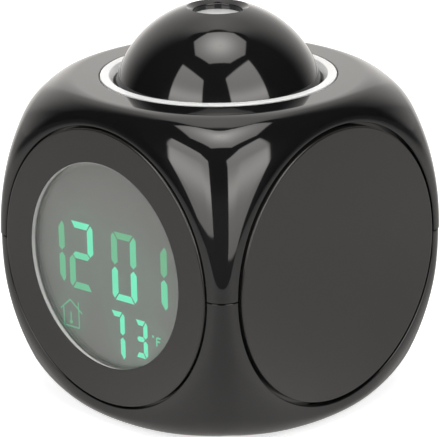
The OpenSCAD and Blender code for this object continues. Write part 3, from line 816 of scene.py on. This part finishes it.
def digit_strokes(w, h, upright_w, level_h):
    """Outlines of the strokes a to g of a digit w by h, about its middle.

    The level strokes are trapezoids and the upright ones pointed bars, cut back at the corners.
    """
    x, y, gap = w / 2, h / 2, SEGMENT_GAP
    top = np.array([
        (-x + gap + upright_w * 0.45, y), (x - gap - upright_w * 0.45, y),
        (x - upright_w - gap, y - level_h), (-x + upright_w + gap, y - level_h),
    ])
    bar = np.array([
        (x - upright_w, y - level_h - 2 * gap), (x - upright_w * 0.36, y - level_h * 0.2),
        (x, y - level_h * 0.75), (x, upright_w * 0.55 + gap),
        (x - upright_w / 2, gap * 1.6), (x - upright_w, upright_w * 0.45 + gap),
    ])
    middle = np.array([
        (-x + upright_w * 0.5 + 2 * gap, 0), (-x + upright_w + gap, level_h / 2),
        (x - upright_w - gap, level_h / 2), (x - upright_w * 0.5 - 2 * gap, 0),
        (x - upright_w - gap, -level_h / 2), (-x + upright_w + gap, -level_h / 2),
    ])
    down, across = np.array([1, -1]), np.array([-1, 1])
    return dict(zip("abcdefg", [top, bar, bar * down, top * down, bar * -1, bar * across, middle]))


def line(p, q, w):
    """Outline of a straight stroke of width w from p to q."""
    p, q = np.array(p, float), np.array(q, float)
    along = (q - p) / np.linalg.norm(q - p)
    out = np.array([-along[1], along[0]]) * w / 2
    return np.array([p - out, q - out, q + out, p + out])


# Each digit: middle x and y, width, height, upright and level stroke, and the lit strokes with
# how hard each is driven
DIGITS = [
    (-19.5, -0.1, 8.5, 16.1, 2.0, 1.7, {"b": 0.05, "c": 0.1}),
    (-9.4, -0.2, 8.5, 17.15, 2.0, 1.65, {"a": 1.0, "b": 0.9, "g": 0.55, "e": 0.15, "d": 0.2}),
    (5.5, -0.2, 8.5, 17.15, 2.05, 1.65,
     {"a": 0.0, "b": 0.4, "c": 1.0, "d": 1.0, "e": 0.85, "f": 0.1}),
    (15.85, -0.2, 8.5, 16.3, 2.1, 1.7, {"b": 0.0, "c": 0.45}),
    (2.45, -17.8, 5.2, 12.2, 1.55, 1.35, {"a": 0.95, "b": 1.0, "c": 0.9}),
    (10.55, -17.1, 4.6, 9.5, 1.4, 1.3, {"a": 1.0, "b": 1.0, "c": 1.0, "d": 1.0, "g": 1.0}),
]
# The house and the letter after the temperature, as lines from point to point
ICON_LINE = 0.32
HOUSE = [
    ((-17.5, -15.0), (-14.1, -12.2)), ((-14.1, -12.2), (-9.9, -15.1)),
    ((-16.5, -14.5), (-16.5, -19.1)), ((-16.5, -19.1), (-11.1, -19.1)),
    ((-11.1, -19.1), (-11.1, -14.5)), ((-11.2, -12.4), (-11.2, -14.0)),
]
LETTER_LINE = 0.4
LETTER = [
    ((15.95, -15.6), (15.95, -17.7)), ((15.95, -15.6), (17.3, -15.6)),
    ((15.95, -16.5), (17.0, -16.5)),
]
DEGREE_DOT = (14.7, -15.5)
DEGREE_R = 0.32
BULB = (-13.95, -17.9)
BULB_R = 0.5
BULB_TOP = (-13.95, -15.3)


def display_outlines():
    """Every lit outline of the display, about its middle, with its drive."""
    found = []
    for x, y, w, h, upright_w, level_h, lit in DIGITS:
        strokes = digit_strokes(w, h, upright_w, level_h)
        found += [(strokes[k] + np.array([x, y]), drive) for k, drive in lit.items()]
    found += [(line(p, q, ICON_LINE), 0.1) for p, q in HOUSE]
    found += [(line(p, q, LETTER_LINE), 0.5) for p, q in LETTER]
    found += [(circle(DEGREE_R, 16) + DEGREE_DOT, 0.4), (circle(BULB_R, 16) + BULB, 0.1)]
    return found + [(line(BULB, BULB_TOP, LETTER_LINE), 0.0)]


def tilted(outline):
    """The display's rows tilted and its columns leaned, as fitted: (x - lean y, y + tilt x)."""
    x, y = outline[:, 0], outline[:, 1]
    return np.stack([x - DISPLAY_LEAN * y, y + DISPLAY_TILT * x + DIGIT_MID], -1)


outlines = [(tilted(o), d) for o, d in display_outlines()]
segments = [prism(o, LCD_FACE, LCD_FACE + SEGMENT_T, on_front) for o, d in outlines]
lit = build("display_segments", segments, LIT_SEGMENT)
set_points(lit.data, "drive", np.concatenate([np.full(2 * len(o), d) for o, d in outlines]))
place(lit, "housing", "lcd_glass")


def lcd_plate(cells=120):
    """A square plate whose face is a fine grid, with the glow and the painted light of its rim at
    each point.

    Its corners are cut off where |x| + |y| = LCD_CORNER, by drawing the points beyond in to that
    line. The glow is the sum over the lit strokes of exp(-(distance / width) squared), from the
    stroke's middle, and the width grows with the stroke's length.
    """
    t = np.linspace(-LCD_HALF, LCD_HALF, cells)
    x, y = np.meshgrid(t, t)
    keep = np.minimum(1, LCD_CORNER / np.maximum(np.abs(x) + np.abs(y), 1e-6))
    x, y = x * keep, y * keep
    face = np.stack([x, y, np.full_like(x, LCD_FACE)], -1)
    back = np.stack([x, y, np.full_like(x, LCD_BACK)], -1)
    n = cells * cells
    index = np.arange(n).reshape(cells, cells)
    rim = np.concatenate([index[0, :-1], index[:-1, -1], index[-1, :0:-1], index[:0:-1, 0]])
    after = np.roll(rim, -1)
    sides = np.stack([rim, after, after + n, rim + n], -1)[:, ::-1]
    verts = np.vstack([face.reshape(-1, 3), back.reshape(-1, 3)])
    faces = quads(index) + quads(index.T + n) + sides.tolist()
    glow = np.zeros(n)
    for outline, strength in outlines:
        middle = outline.mean(0)
        half_length = np.linalg.norm(outline - middle, axis=-1).max()
        width = GLOW_WIDTH + GLOW_GROWTH * half_length
        squared = (x.ravel() - middle[0]) ** 2 + (y.ravel() - middle[1]) ** 2
        glow += (0.3 + 0.7 * strength) * np.exp(-squared / width**2)
    # Painted light: a pale ring at the rim, where the bezel's lip shades the display.
    border = ease(np.hypot(x, y).ravel(), DISPLAY_R - BORDER_IN, DISPLAY_R + 0.1)
    return (on_front(verts), faces), *(np.append(shade, np.zeros(n)) for shade in (glow, border))


plate, glow, border = lcd_plate()
lcd = build("lcd_plate", [plate], LCD_GREY)
set_points(lcd.data, "glow", glow)
# The rim's painted light, for the display's material
set_points(lcd.data, "border", border)
place(lcd, "housing", "lcd_glass", "lcd_glass")

liner_profile = np.array([
    (LINER_R, WINDOW_FACE), (LINER_R, PANEL_TOP - LIP),
    (LINER_IN, PANEL_TOP - LIP), (LINER_IN, WINDOW_FACE),
])
liner = build("liner_ring", [revolve(liner_profile, 192, round_liner)], LINER_ABS)
place(liner, "housing", "white_plastic", "display_liner")


# ---- Trim ring and dome ----

RING_R = 28.85
RING_IN = 25.65
RING_TUBE_R = 27.6
RING_FOOT = 35.9
RING_FLAT_R = 26.7
RING_LIP = 38.75
RING_TOP = (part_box("trim_ring")[1].z - MID_Z) / MM + 0.1
ring_profile = rounded(
    [
        (RING_IN, RING_FOOT), (RING_TUBE_R, RING_FOOT), (RING_TUBE_R, SEAT_Z), (RING_R, SEAT_Z),
        (RING_R, RING_TOP), (RING_FLAT_R, RING_TOP), (RING_IN, RING_LIP),
    ],
    [0, 0, 0, 0, 0.2, 0.3, 0.2],
)
trim_ring = build("trim_ring_round", [revolve(ring_profile, 288)], WHITE_ABS)
place(trim_ring, "housing", "white_plastic", "trim_ring")

DOME_R = 26.0
DOME_LIFT = 31.9
DOME_SKIRT_R = 25.1
DOME_INNER_R = 23.8
DOME_SKIRT_IN = DOME_SKIRT_R - 2.0
DOME_BASE = 34.3
STOP_R = 27.2
STOP_TOP = DOME_BASE + 1.5
COLLAR_R = 9.7
RIM_R = 7.55
RIM_DEPTH = 0.88
MOUTH_ROUND = 0.16
APERTURE_R = 6.0
LENS_SEAT = 50.4
RIM_Z = DOME_LIFT + np.sqrt(DOME_R**2 - RIM_R**2)


def dome_arc(ball, r_from, r_to, steps):
    """Part of the ball's circle about the dome's centre: (ball cos a, lift + ball sin a)."""
    a = np.linspace(np.arccos(r_from / ball), np.arccos(r_to / ball), steps)
    return np.stack([ball * np.cos(a), DOME_LIFT + ball * np.sin(a)], -1)


def dome_profile():
    """Half section of the dome: the sphere's arc, the opening's sunk rim and the skirt inside.

    The skirt ends in the flange that stops under the trim ring.
    """
    outer = dome_arc(DOME_R, DOME_SKIRT_R, RIM_R + MOUTH_ROUND, 90)
    mouth = rounded(
        [
            tuple(outer[-1]), (RIM_R, RIM_Z), (APERTURE_R, RIM_Z - RIM_DEPTH),
            (APERTURE_R, LENS_SEAT), (COLLAR_R, LENS_SEAT),
        ],
        [0, MOUTH_ROUND * 0.45, 0.25, 0, 0], 5,
    )
    inner = dome_arc(DOME_INNER_R, COLLAR_R, DOME_SKIRT_IN, 24)
    stop = [
        (DOME_SKIRT_IN, DOME_BASE), (STOP_R, DOME_BASE),
        (STOP_R, STOP_TOP), (DOME_SKIRT_R, STOP_TOP),
    ]
    return np.vstack([outer, mouth[1:], inner, stop])


place(build("dome_skin", [revolve(dome_profile(), 288)], GLOSS_ABS), "dome", "gloss_abs", "dome")

LENS_R = 7.2
LENS_BALL = 60.0
LENS_APEX = RIM_Z - 1.83
arc = np.linspace(0, np.arcsin(LENS_R / LENS_BALL), 24)[::-1]
lens_profile = np.vstack([
    [(0, LENS_SEAT), (LENS_R, LENS_SEAT)],
    np.stack([LENS_BALL * np.sin(arc), LENS_APEX - LENS_BALL + LENS_BALL * np.cos(arc)], -1),
])
lens = build("lens_polished", [revolve(lens_profile, 96)], LENS_ACRYLIC)
place(lens, "dome", "clear_acrylic", "projection_lens")


# ---- Rear panel, buttons and battery door ----

# Flat rings behind the discs, and how far back they lie
SEAT_IN = 33.0
SEAT_OUT = 35.6
SEAT_BACK = 1.0
SEAT_FRONT = 0.1
# The rear panel: a raised rim round a sunk field with four buttons and the battery door
FIELD_R = 32.0
FIELD_SLOPE = 0.6
FIELD_TOP = 39.5
FIELD_BACK = 37.3
THROUGH = (30, 50)
DOOR_LOW = -21.25
DOOR_HIGH = 13.25
DOOR_W = 49.4
DOOR_T = 1.8
DOOR_GAP = 0.25
DOOR_EDGE = 0.15
DOOR_HOLE_ROUND = 0.6
BUTTON_R = 3.2
BUTTON_EDGE = 0.55
BUTTON_GAP = 0.2
BUTTON_UP = 20.5
FLANGE_R = 3.9
FLANGE_LOW = 36.3
FLANGE_HIGH = FIELD_BACK - 0.05
DISH = 0.3
BUTTONS = {"mode_button": -16.5, "set_button": -5.5, "down_button": 5.5, "up_button": 16.5}


def rear_panel():
    """A disc with a raised rim, swung about the side's axis: the field lies below the rim."""
    profile = rounded(
        [
            (0, FIELD_BACK), (PANEL_R, FIELD_BACK), (PANEL_R, PANEL_TOP),
            (PANEL_R - FLAT_IN, PANEL_TOP), (FIELD_R + FIELD_SLOPE, PANEL_TOP),
            (FIELD_R, FIELD_TOP), (FIELD_R - FLAT_IN, FIELD_TOP), (0, FIELD_TOP),
        ],
        [0, 0, PANEL_ROUND, 0, 0.25, 0.25, 0, 0],
    )
    return revolve(profile, 288, on_rear)


def window_seat(side, back):
    """Flat ring inside a window, just behind its disc, which shuts light out of the disc's gap."""
    low, high = back - SEAT_BACK, back - SEAT_FRONT
    profile = np.array([(SEAT_IN, low), (SEAT_OUT, low), (SEAT_OUT, high), (SEAT_IN, high)])
    return revolve(profile, 192, side)


seats = [window_seat(side, PANEL_BACK) for side in (on_front, on_right, on_left)]
seats.append(window_seat(on_rear, FIELD_BACK))
place(build("window_seats", seats, GLOSS_ABS), "housing", "gloss_abs")

rear_disc = build("rear_panel_disc", [rear_panel()], PANEL_ABS)
door_hole = rounded_box(
    DOOR_W + 2 * DOOR_GAP, DOOR_HIGH - DOOR_LOW + 2 * DOOR_GAP, DOOR_HOLE_ROUND
)
door_hole = door_hole + np.array([0, (DOOR_LOW + DOOR_HIGH) / 2])
cut(rear_disc, [prism(door_hole, *THROUGH, on_rear)] + [
    drill(BUTTON_R + BUTTON_GAP, *THROUGH, x, BUTTON_UP, 96, on_rear) for x in BUTTONS.values()
])
place(rear_disc, "housing", "gloss_abs", "rear_panel")

# A button: its flange stays behind the panel and its face has a shallow dish for the fingertip.
dish = np.linspace(BUTTON_R - BUTTON_EDGE, 0, 14)
dish_z = PANEL_TOP - DISH * (1 - (dish / dish[0]) ** 2)
button_side = rounded(
    [
        (0, FLANGE_LOW), (FLANGE_R, FLANGE_LOW), (FLANGE_R, FLANGE_HIGH),
        (BUTTON_R, FLANGE_HIGH), (BUTTON_R, PANEL_TOP), (BUTTON_R - BUTTON_EDGE, PANEL_TOP),
    ],
    [0, 0, 0, 0, 0.35, 0],
)
button_profile = np.vstack([button_side, np.stack([dish, dish_z], -1)[1:]])
for name, x in BUTTONS.items():
    button = build(name + "_cap", [revolve(button_profile, 96, on_rear, (x, BUTTON_UP))], PANEL_ABS)
    place(button, name, "gloss_abs", name)


def hinge_pin(r, half_length, segments=48):
    """A pin on the hinge's axis, along local X: (x, r cos a, r sin a) about HINGE."""
    def lay(p):
        return on_rear(np.stack([p[..., 2], p[..., 0] + HINGE[0], p[..., 1] + HINGE[1]], -1))

    low, high = -half_length, half_length
    return revolve(np.array([(0, low), (r, low), (r, high), (0, high)]), segments, lay)


def bevelled(outline, z0, z1, size):
    """A prism whose upper edge is a quarter-round.

    Its outline is drawn in by size (1 - cos a) at the height size sin a. One more outline, a
    little further in on the top, keeps the top flat.
    """
    ahead = np.roll(outline, -1, 0) - outline
    ahead /= np.linalg.norm(ahead, axis=1, keepdims=True)
    behind = np.roll(ahead, 1, 0)
    inward = np.stack([-(ahead + behind)[:, 1], (ahead + behind)[:, 0]], -1)
    across = (inward * np.stack([-ahead[:, 1], ahead[:, 0]], -1)).sum(1, keepdims=True)
    inward /= np.maximum(across, 0.3)
    a = np.linspace(0, np.pi / 2, 5)[:, None, None]
    drawn = np.append(outline + inward * size * (1 - np.cos(a)), [outline + inward * size * 1.2], 0)
    z = np.append(z1 - size + size * np.sin(a), [[[z1]]], 0)
    rows = np.concatenate([drawn, np.broadcast_to(z, drawn.shape[:2] + (1,))], -1)
    low = np.column_stack([outline, np.full(len(outline), z0)])[None]
    lattice = on_rear(np.concatenate([low, rows]))
    verts, faces = skin(lattice)
    n = len(outline)
    return verts, faces + [list(range(n))[::-1], list(range(len(verts) - n, len(verts)))]


HINGE = (DOOR_LOW + DOOR_T / 2, FIELD_TOP - DOOR_T / 2)
PIN_R = 0.6
PIN_OUT = 1.5
LATCH_HALF = 6.0
LATCH_SLOT = 1.0
LATCH_H = 7.0
RIB_W = 10.0
RIB_H = 0.7
RIB_OUT = 0.5
RIB_EDGE = 0.2
RIB_PITCH = 1.5
RIB_TOP = 2.25
RIB_COUNT = 5


def battery_door():
    """A flat cover, rounded at its upper corners and along its hinge, with ribs on its latch."""
    low, high, w = HINGE[0], DOOR_HIGH, DOOR_W / 2
    slot, slot_end = LATCH_HALF + LATCH_SLOT, DOOR_HIGH - LATCH_H
    half = [
        (w, low), (w, high), (slot, high),
        (slot, slot_end), (LATCH_HALF, slot_end), (LATCH_HALF, high),
    ]
    other = [(-x, y) for x, y in half[::-1]]
    rounds = [0, 0.5, 0.3, 0.3, 0.3, 0.3]
    outline = rounded(other[-1:] + half + other[:-1], [0] + rounds + rounds[:0:-1], 4)
    rib = rounded_box(RIB_W, RIB_H, 0.3)
    parts = [
        bevelled(outline, FIELD_TOP - DOOR_T, FIELD_TOP, DOOR_EDGE),
        hinge_pin(DOOR_T / 2, w), hinge_pin(PIN_R, w + PIN_OUT),
    ]
    for k in range(RIB_COUNT):
        at = rib + np.array([0, high - RIB_TOP - RIB_PITCH * k])
        parts.append(bevelled(at, FIELD_TOP - RIB_OUT, FIELD_TOP + RIB_OUT, RIB_EDGE))
    return parts


door = build("battery_cover", battery_door(), PANEL_ABS)
place(door, "battery_door", "gloss_abs", "battery_door")


# ---- Pieces that keep their CAD shape ----

KEPT = {
    INNER_ABS: [
        "battery_tray", "dome_carrier", "dome_switch", "rear_switches", "lens_barrel",
        "dome_plunger", "mode_plunger", "set_plunger", "down_plunger", "up_plunger",
    ],
    WHITE_ABS: ["display_frame"],
    WINDOW_ACRYLIC: ["backlight_guide"],
    LCD_GREY: ["projector_slide"],
    FOAM: ["display_gasket"],
    RUBBER: ["contact_strip"],
    STEEL: [
        "housing_screws", "board_screws", "barrel_screws", "carrier_screws", "dome_springs",
        "battery_springs", "battery_plates", "speaker_frame", "speaker_magnet",
    ],
    BOARD: ["main_board", "button_board", "projector_board"],
    RESIN: ["clock_chips", "thermistor"],
    LED_EPOXY: ["backlight_leds", "projector_led"],
    SLEEVE: ["battery_cells"],
    PAPER: ["speaker_cone"],
}
for finish, names in KEPT.items():
    for name in names:
        slots = frame["nodes"][name].data.materials
        slots.clear()
        slots.append(finish)


# ---- Studio ----

# Turns are degrees to the right of the camera's side, rises degrees above level, and levels of
# the furniture are how bright it shows in polished surfaces, where 1 is white.
VIEW_TURN = np.radians(44.63)
VIEW_RISE = 18.40
VIEW_ROLL = np.radians(-0.65)
VIEW_DISTANCE = 0.6806
VIEW_TARGET = Vector((0, 0, MID_Z + 2.745 * MM))
LENS_MM = 224.7
SENSOR_MM = 36


def toward(turn, rise):
    """Unit vector (sin t cos e, -cos t cos e, sin e), t counted from the display's side."""
    t, e = np.radians(turn) + VIEW_TURN, np.radians(rise)
    return np.stack([np.sin(t) * np.cos(e), -np.cos(t) * np.cos(e), np.sin(e) + 0 * t], -1)


def camera():
    """Long lens, turned VIEW_TURN to the display's right and VIEW_RISE above the table."""
    back = Vector(toward(0.0, VIEW_RISE))
    right = Vector((np.cos(VIEW_TURN), np.sin(VIEW_TURN), 0))
    up = back.cross(right)
    c, s = np.cos(VIEW_ROLL), np.sin(VIEW_ROLL)
    data = bpy.data.cameras.new("view")
    data.sensor_width = SENSOR_MM
    data.lens = LENS_MM
    data.clip_start, data.clip_end = 0.01, 50
    made = linked("view", data)
    turn = Matrix((right * c + up * s, up * c - right * s, back)).transposed().to_4x4()
    made.matrix_world = Matrix.Translation(VIEW_TARGET + back * VIEW_DISTANCE) @ turn
    bpy.context.scene.camera = made


def level_shine(tree):
    """Emission of the furniture and the table, as strong as each point's level."""
    level = add(tree, "ShaderNodeAttribute", attribute_name="level")
    shine = add(tree, "ShaderNodeEmission", {"Color": LAMP_WHITE, "Strength": level.outputs["Fac"]})
    return shine.outputs["Emission"]


def stage_piece(name, verts, faces, level, pole_level, material):
    """Furniture of the set: a mesh with a level for each of its points, and one for its poles."""
    mesh = bpy.data.meshes.new(name)
    mesh.from_pydata(verts, [], faces)
    set_points(mesh, "level", np.append(level, np.full(len(verts) - level.size, pole_level)))
    mesh.materials.append(material)
    made = linked(name, mesh)
    return made


def only_in_gloss(name, verts, faces, level):
    """Studio furniture, about the middle of the clock, that shows in polished surfaces only."""
    glow = bpy.data.materials.new(name)
    tree = fresh_tree(glow)
    add(tree, "ShaderNodeOutputMaterial", {"Surface": level_shine(tree)})
    made = stage_piece(name, verts + np.array([0, 0, MID_Z]), faces, level, level.flat[0], glow)
    for kind in ("camera", "diffuse", "transmission", "shadow", "volume_scatter"):
        setattr(made, "visible_" + kind, False)


def sheet(lattice):
    """Vertices and faces over a lattice that is open all round."""
    index = np.arange(lattice[..., 0].size).reshape(lattice.shape[:2])
    return lattice.reshape(-1, 3), quads(index)


WHITE = colour("#ffffff")
LAMP_WHITE = colour("#fffcf8")
# How far off the softboxes, the backdrop and the room's wall stand, in metres
CARD_M = 2.5
BACKDROP_M = 2.9
ROOM_M = 3.3
SOFTBOX_BORDER = 0.035


def hump(x, middle, width):
    """exp(-((x - middle) / width)^2)"""
    return np.exp(-(((x - middle) / width) ** 2))


def softbox(name, corners):
    """A square softbox given by the turn and rise of its corners, top left first, clockwise.

    It is the flat patch (1 - t)((1 - u) A + u B) + t((1 - u) D + u C) between the corners'
    directions. It glows evenly with a hot spot at the lamp's height, and fades over its border.
    """
    u, t = np.meshgrid(np.linspace(0, 1, 45), np.linspace(0, 1, 61))
    fade_u, fade_t = (ease(np.minimum(k, 1 - k), 0, SOFTBOX_BORDER) for k in (u, t))
    a, b, c, d = (toward(*map(float, k)) for k in corners)
    u, t = u[..., None], t[..., None]
    points = (1 - t) * ((1 - u) * a + u * b) + t * ((1 - u) * d + u * c)
    rise = np.degrees(np.arcsin(points[..., 2] / np.linalg.norm(points, axis=-1)))
    level = 2.7 + 0.03 * rise + 2.8 * hump(rise, 22.5, 7)
    only_in_gloss(name, *sheet(points * CARD_M), level * fade_u * fade_t)


# Turn and rise of the overhead softbox's corners and of the lamp in it
OCTAGON = [
    (-142, 76.5), (-99, 69.5), (-56, 64), (-18, 60), (24, 60), (63, 61.5), (101, 66), (133, 73),
]
OCTAGON_LAMP = (8.0, 83.0)


def light_above():
    """The eight-sided softbox overhead, brightest towards the lamp inside it."""
    turn, rise = np.array(OCTAGON, float).T
    edge = toward(turn, rise) / np.sin(np.radians(rise))[:, None]
    share = np.linspace(0, 1, 12, endpoint=False)[:, None]
    edge = np.concatenate([(1 - share) * edge[k - 1] + share * edge[k] for k in range(len(edge))])
    middle = edge.mean(0)
    s = np.linspace(1, 0.03, 30)[:, None, None]
    lattice = middle + s * (edge - middle)
    unit = lattice / np.linalg.norm(lattice, axis=-1, keepdims=True)
    off = np.degrees(np.arccos(np.clip(unit @ toward(*OCTAGON_LAMP), -1, 1)))
    level = (2.6 + 5.5 * hump(off, 0, 14)) * ease(1 - s[..., 0], -0.02, 0.06)
    only_in_gloss("softbox_above", *skin(lattice * CARD_M, poles=(False, True)), level)


def backdrop():
    """White sheet round the back of the clock, up to the softbox overhead; its sides are darker."""
    rise, turn = np.meshgrid(np.linspace(-4, 77, 82), np.linspace(108, 252, 90), indexing="ij")
    side = 180 - np.abs(turn - 180)
    level = 1.0 * ease(side, 105, 146) + 0.3 * ease(side, 140, 180)
    level = level * (1 + 0.3 * hump(rise, 0, 14) * ease(side, 130, 160) + 0.35 * ease(rise, 50, 72))
    top = 65 + 11.5 * ease(side, 112, 150)
    level = level * (1 - ease(rise, top - 2.5, top))
    only_in_gloss("backdrop", *sheet(toward(turn, rise) * BACKDROP_M), level)


def dark_room():
    """The unlit room round the set, as a ball, a little lighter on the camera's side."""
    turn = np.linspace(-180, 180, 120, endpoint=False)
    rise, turn = np.meshgrid(np.linspace(-89, 89, 60), turn, indexing="ij")
    level = 0.03 + 0.15 * (1 - ease(rise, 16, 28)) * ease(rise, -30, -5)
    level = level * (1 - ease(np.abs(turn), 50, 75)) * (1 - ease(rise, 55, 64))
    only_in_gloss("dark_room", *skin(toward(turn, rise) * ROOM_M, poles=(True, True)), level)


TABLE_EDGE = 0.222
TABLE_REACH = 3.0
TABLE_TOP = -0.00004
# Level of the painted shadow right under the clock, in reflections
TABLE_PAINTED_SHADOW = 0.2
TABLE_GLOW = 0.7
SOFT_LIGHT = 0.35


def table_material():
    """Matt white lacquer that glows to the camera as well, so that it stays white.

    In polished surfaces it shows each point's level instead: painted light and shade, with the
    clock's shadow painted in.
    """
    made = bpy.data.materials.new("white_table")
    tree = fresh_tree(made)
    path = add(tree, "ShaderNodeLightPath")
    seen = add(tree, "ShaderNodeMath", {
        0: path.outputs["Is Camera Ray"], 1: TABLE_GLOW,
    }, operation="MULTIPLY")
    surface = add(tree, "ShaderNodeBsdfPrincipled", {
        "Base Color": colour("#f4f4f4"), "Roughness": 0.9, "Specular IOR Level": 0.0,
        "Emission Color": WHITE, "Emission Strength": seen.outputs[0],
    })
    both = add(tree, "ShaderNodeMixShader", {
        0: path.outputs["Is Glossy Ray"], 1: surface.outputs["BSDF"], 2: level_shine(tree),
    })
    add(tree, "ShaderNodeOutputMaterial", {"Surface": both.outputs["Shader"]})
    return made


def floor():
    """Pale table that takes the clock's shadow; its near edge is TABLE_EDGE towards the camera.

    It is a fan of rings out to that edge or to TABLE_REACH. Its level, which polished surfaces
    show, is painted: a painted shadow under the clock, painted light towards both softboxes and
    painted shade low far out at the sides.
    """
    turn = np.linspace(-180, 180, 240, endpoint=False)
    ahead = np.cos(np.radians(turn))
    to_edge = TABLE_EDGE / np.maximum(ahead, 0.01)
    reach = np.where(ahead > TABLE_EDGE / TABLE_REACH, to_edge, TABLE_REACH)
    r = np.maximum(np.linspace(1, 0.02, 70)[:, None] ** 2 * reach, 0.003)
    side = np.abs(turn)
    # Painted light towards the softboxes and painted shade at the sides, for the table's reflection
    level = 0.8 + 0.28 * hump(side, 38, 24) - 0.12 * hump(side, 98, 30) * (1 - ease(r, 0.1, 0.2))
    behind = ease(side, 112, 150)
    level = level + behind * (0.1 + 0.4 * ease(r, 0.1, 0.5))
    level = level * (1 - 0.9 * ease(r, 0.2, 0.8) * (1 - behind))
    # Painted shadow of the clock in the table's reflection
    level = level * (0.2 + 0.8 * ease(r, 0.02, 0.06 + 0.06 * ease(side, 80, 120)))
    verts, faces = skin(toward(turn, 0 * turn) * r[..., None], poles=(False, True))
    verts = verts + np.array([0, 0, TABLE_TOP])
    stage_piece("table", verts, faces, level, TABLE_PAINTED_SHADOW, table_material())


def world():
    """Even soft light, and plain white behind everything the camera sees."""
    made = bpy.data.worlds.new("studio")
    bpy.context.scene.world = made
    tree = fresh_tree(made)
    ray = add(tree, "ShaderNodeLightPath").outputs
    direct = add(tree, "ShaderNodeMath", {
        0: ray["Is Camera Ray"], 1: ray["Is Glossy Ray"],
    }, operation="MAXIMUM")
    seen = add(tree, "ShaderNodeMath", {
        0: direct.outputs[0], 1: ray["Is Transmission Ray"],
    }, operation="MAXIMUM")
    level = add(tree, "ShaderNodeMapRange", {"Value": seen.outputs[0], "To Min": SOFT_LIGHT})
    back = add(tree, "ShaderNodeBackground", {"Color": WHITE, "Strength": level.outputs["Result"]})
    add(tree, "ShaderNodeOutputWorld", {"Surface": back.outputs["Background"]})


def lamp(name, turn, rise, distance, size, watts):
    """A soft square lamp aimed at the clock; polished surfaces show the softboxes instead."""
    data = bpy.data.lights.new(name, "AREA")
    data.shape = "SQUARE"
    data.size = size
    data.energy = watts
    made = linked(name, data)
    made.visible_glossy = False
    aim = Vector(toward(turn, rise))
    at = Matrix.Translation(aim * distance + Vector((0, 0, MID_Z)))
    made.matrix_world = at @ aim.to_track_quat("Z", "Y").to_matrix().to_4x4()


camera()
softbox("softbox_left", [(-63, 51.5), (-20, 42.5), (-17, 3.5), (-57, -2.5)])
softbox("softbox_right", [(60.5, 57), (9.5, 45), (16.5, -5.3), (58.5, -9.5)])
light_above()
backdrop()
dark_room()
floor()
world()
lamp("lamp_above", 10, 80, 1.3, 0.9, 7.5)
lamp("lamp_left", -42, 34, 1.5, 0.6, 5.5)
lamp("lamp_right", 38, 36, 1.5, 0.6, 5.5)
bpy.context.scene.view_settings.view_transform = "Standard"
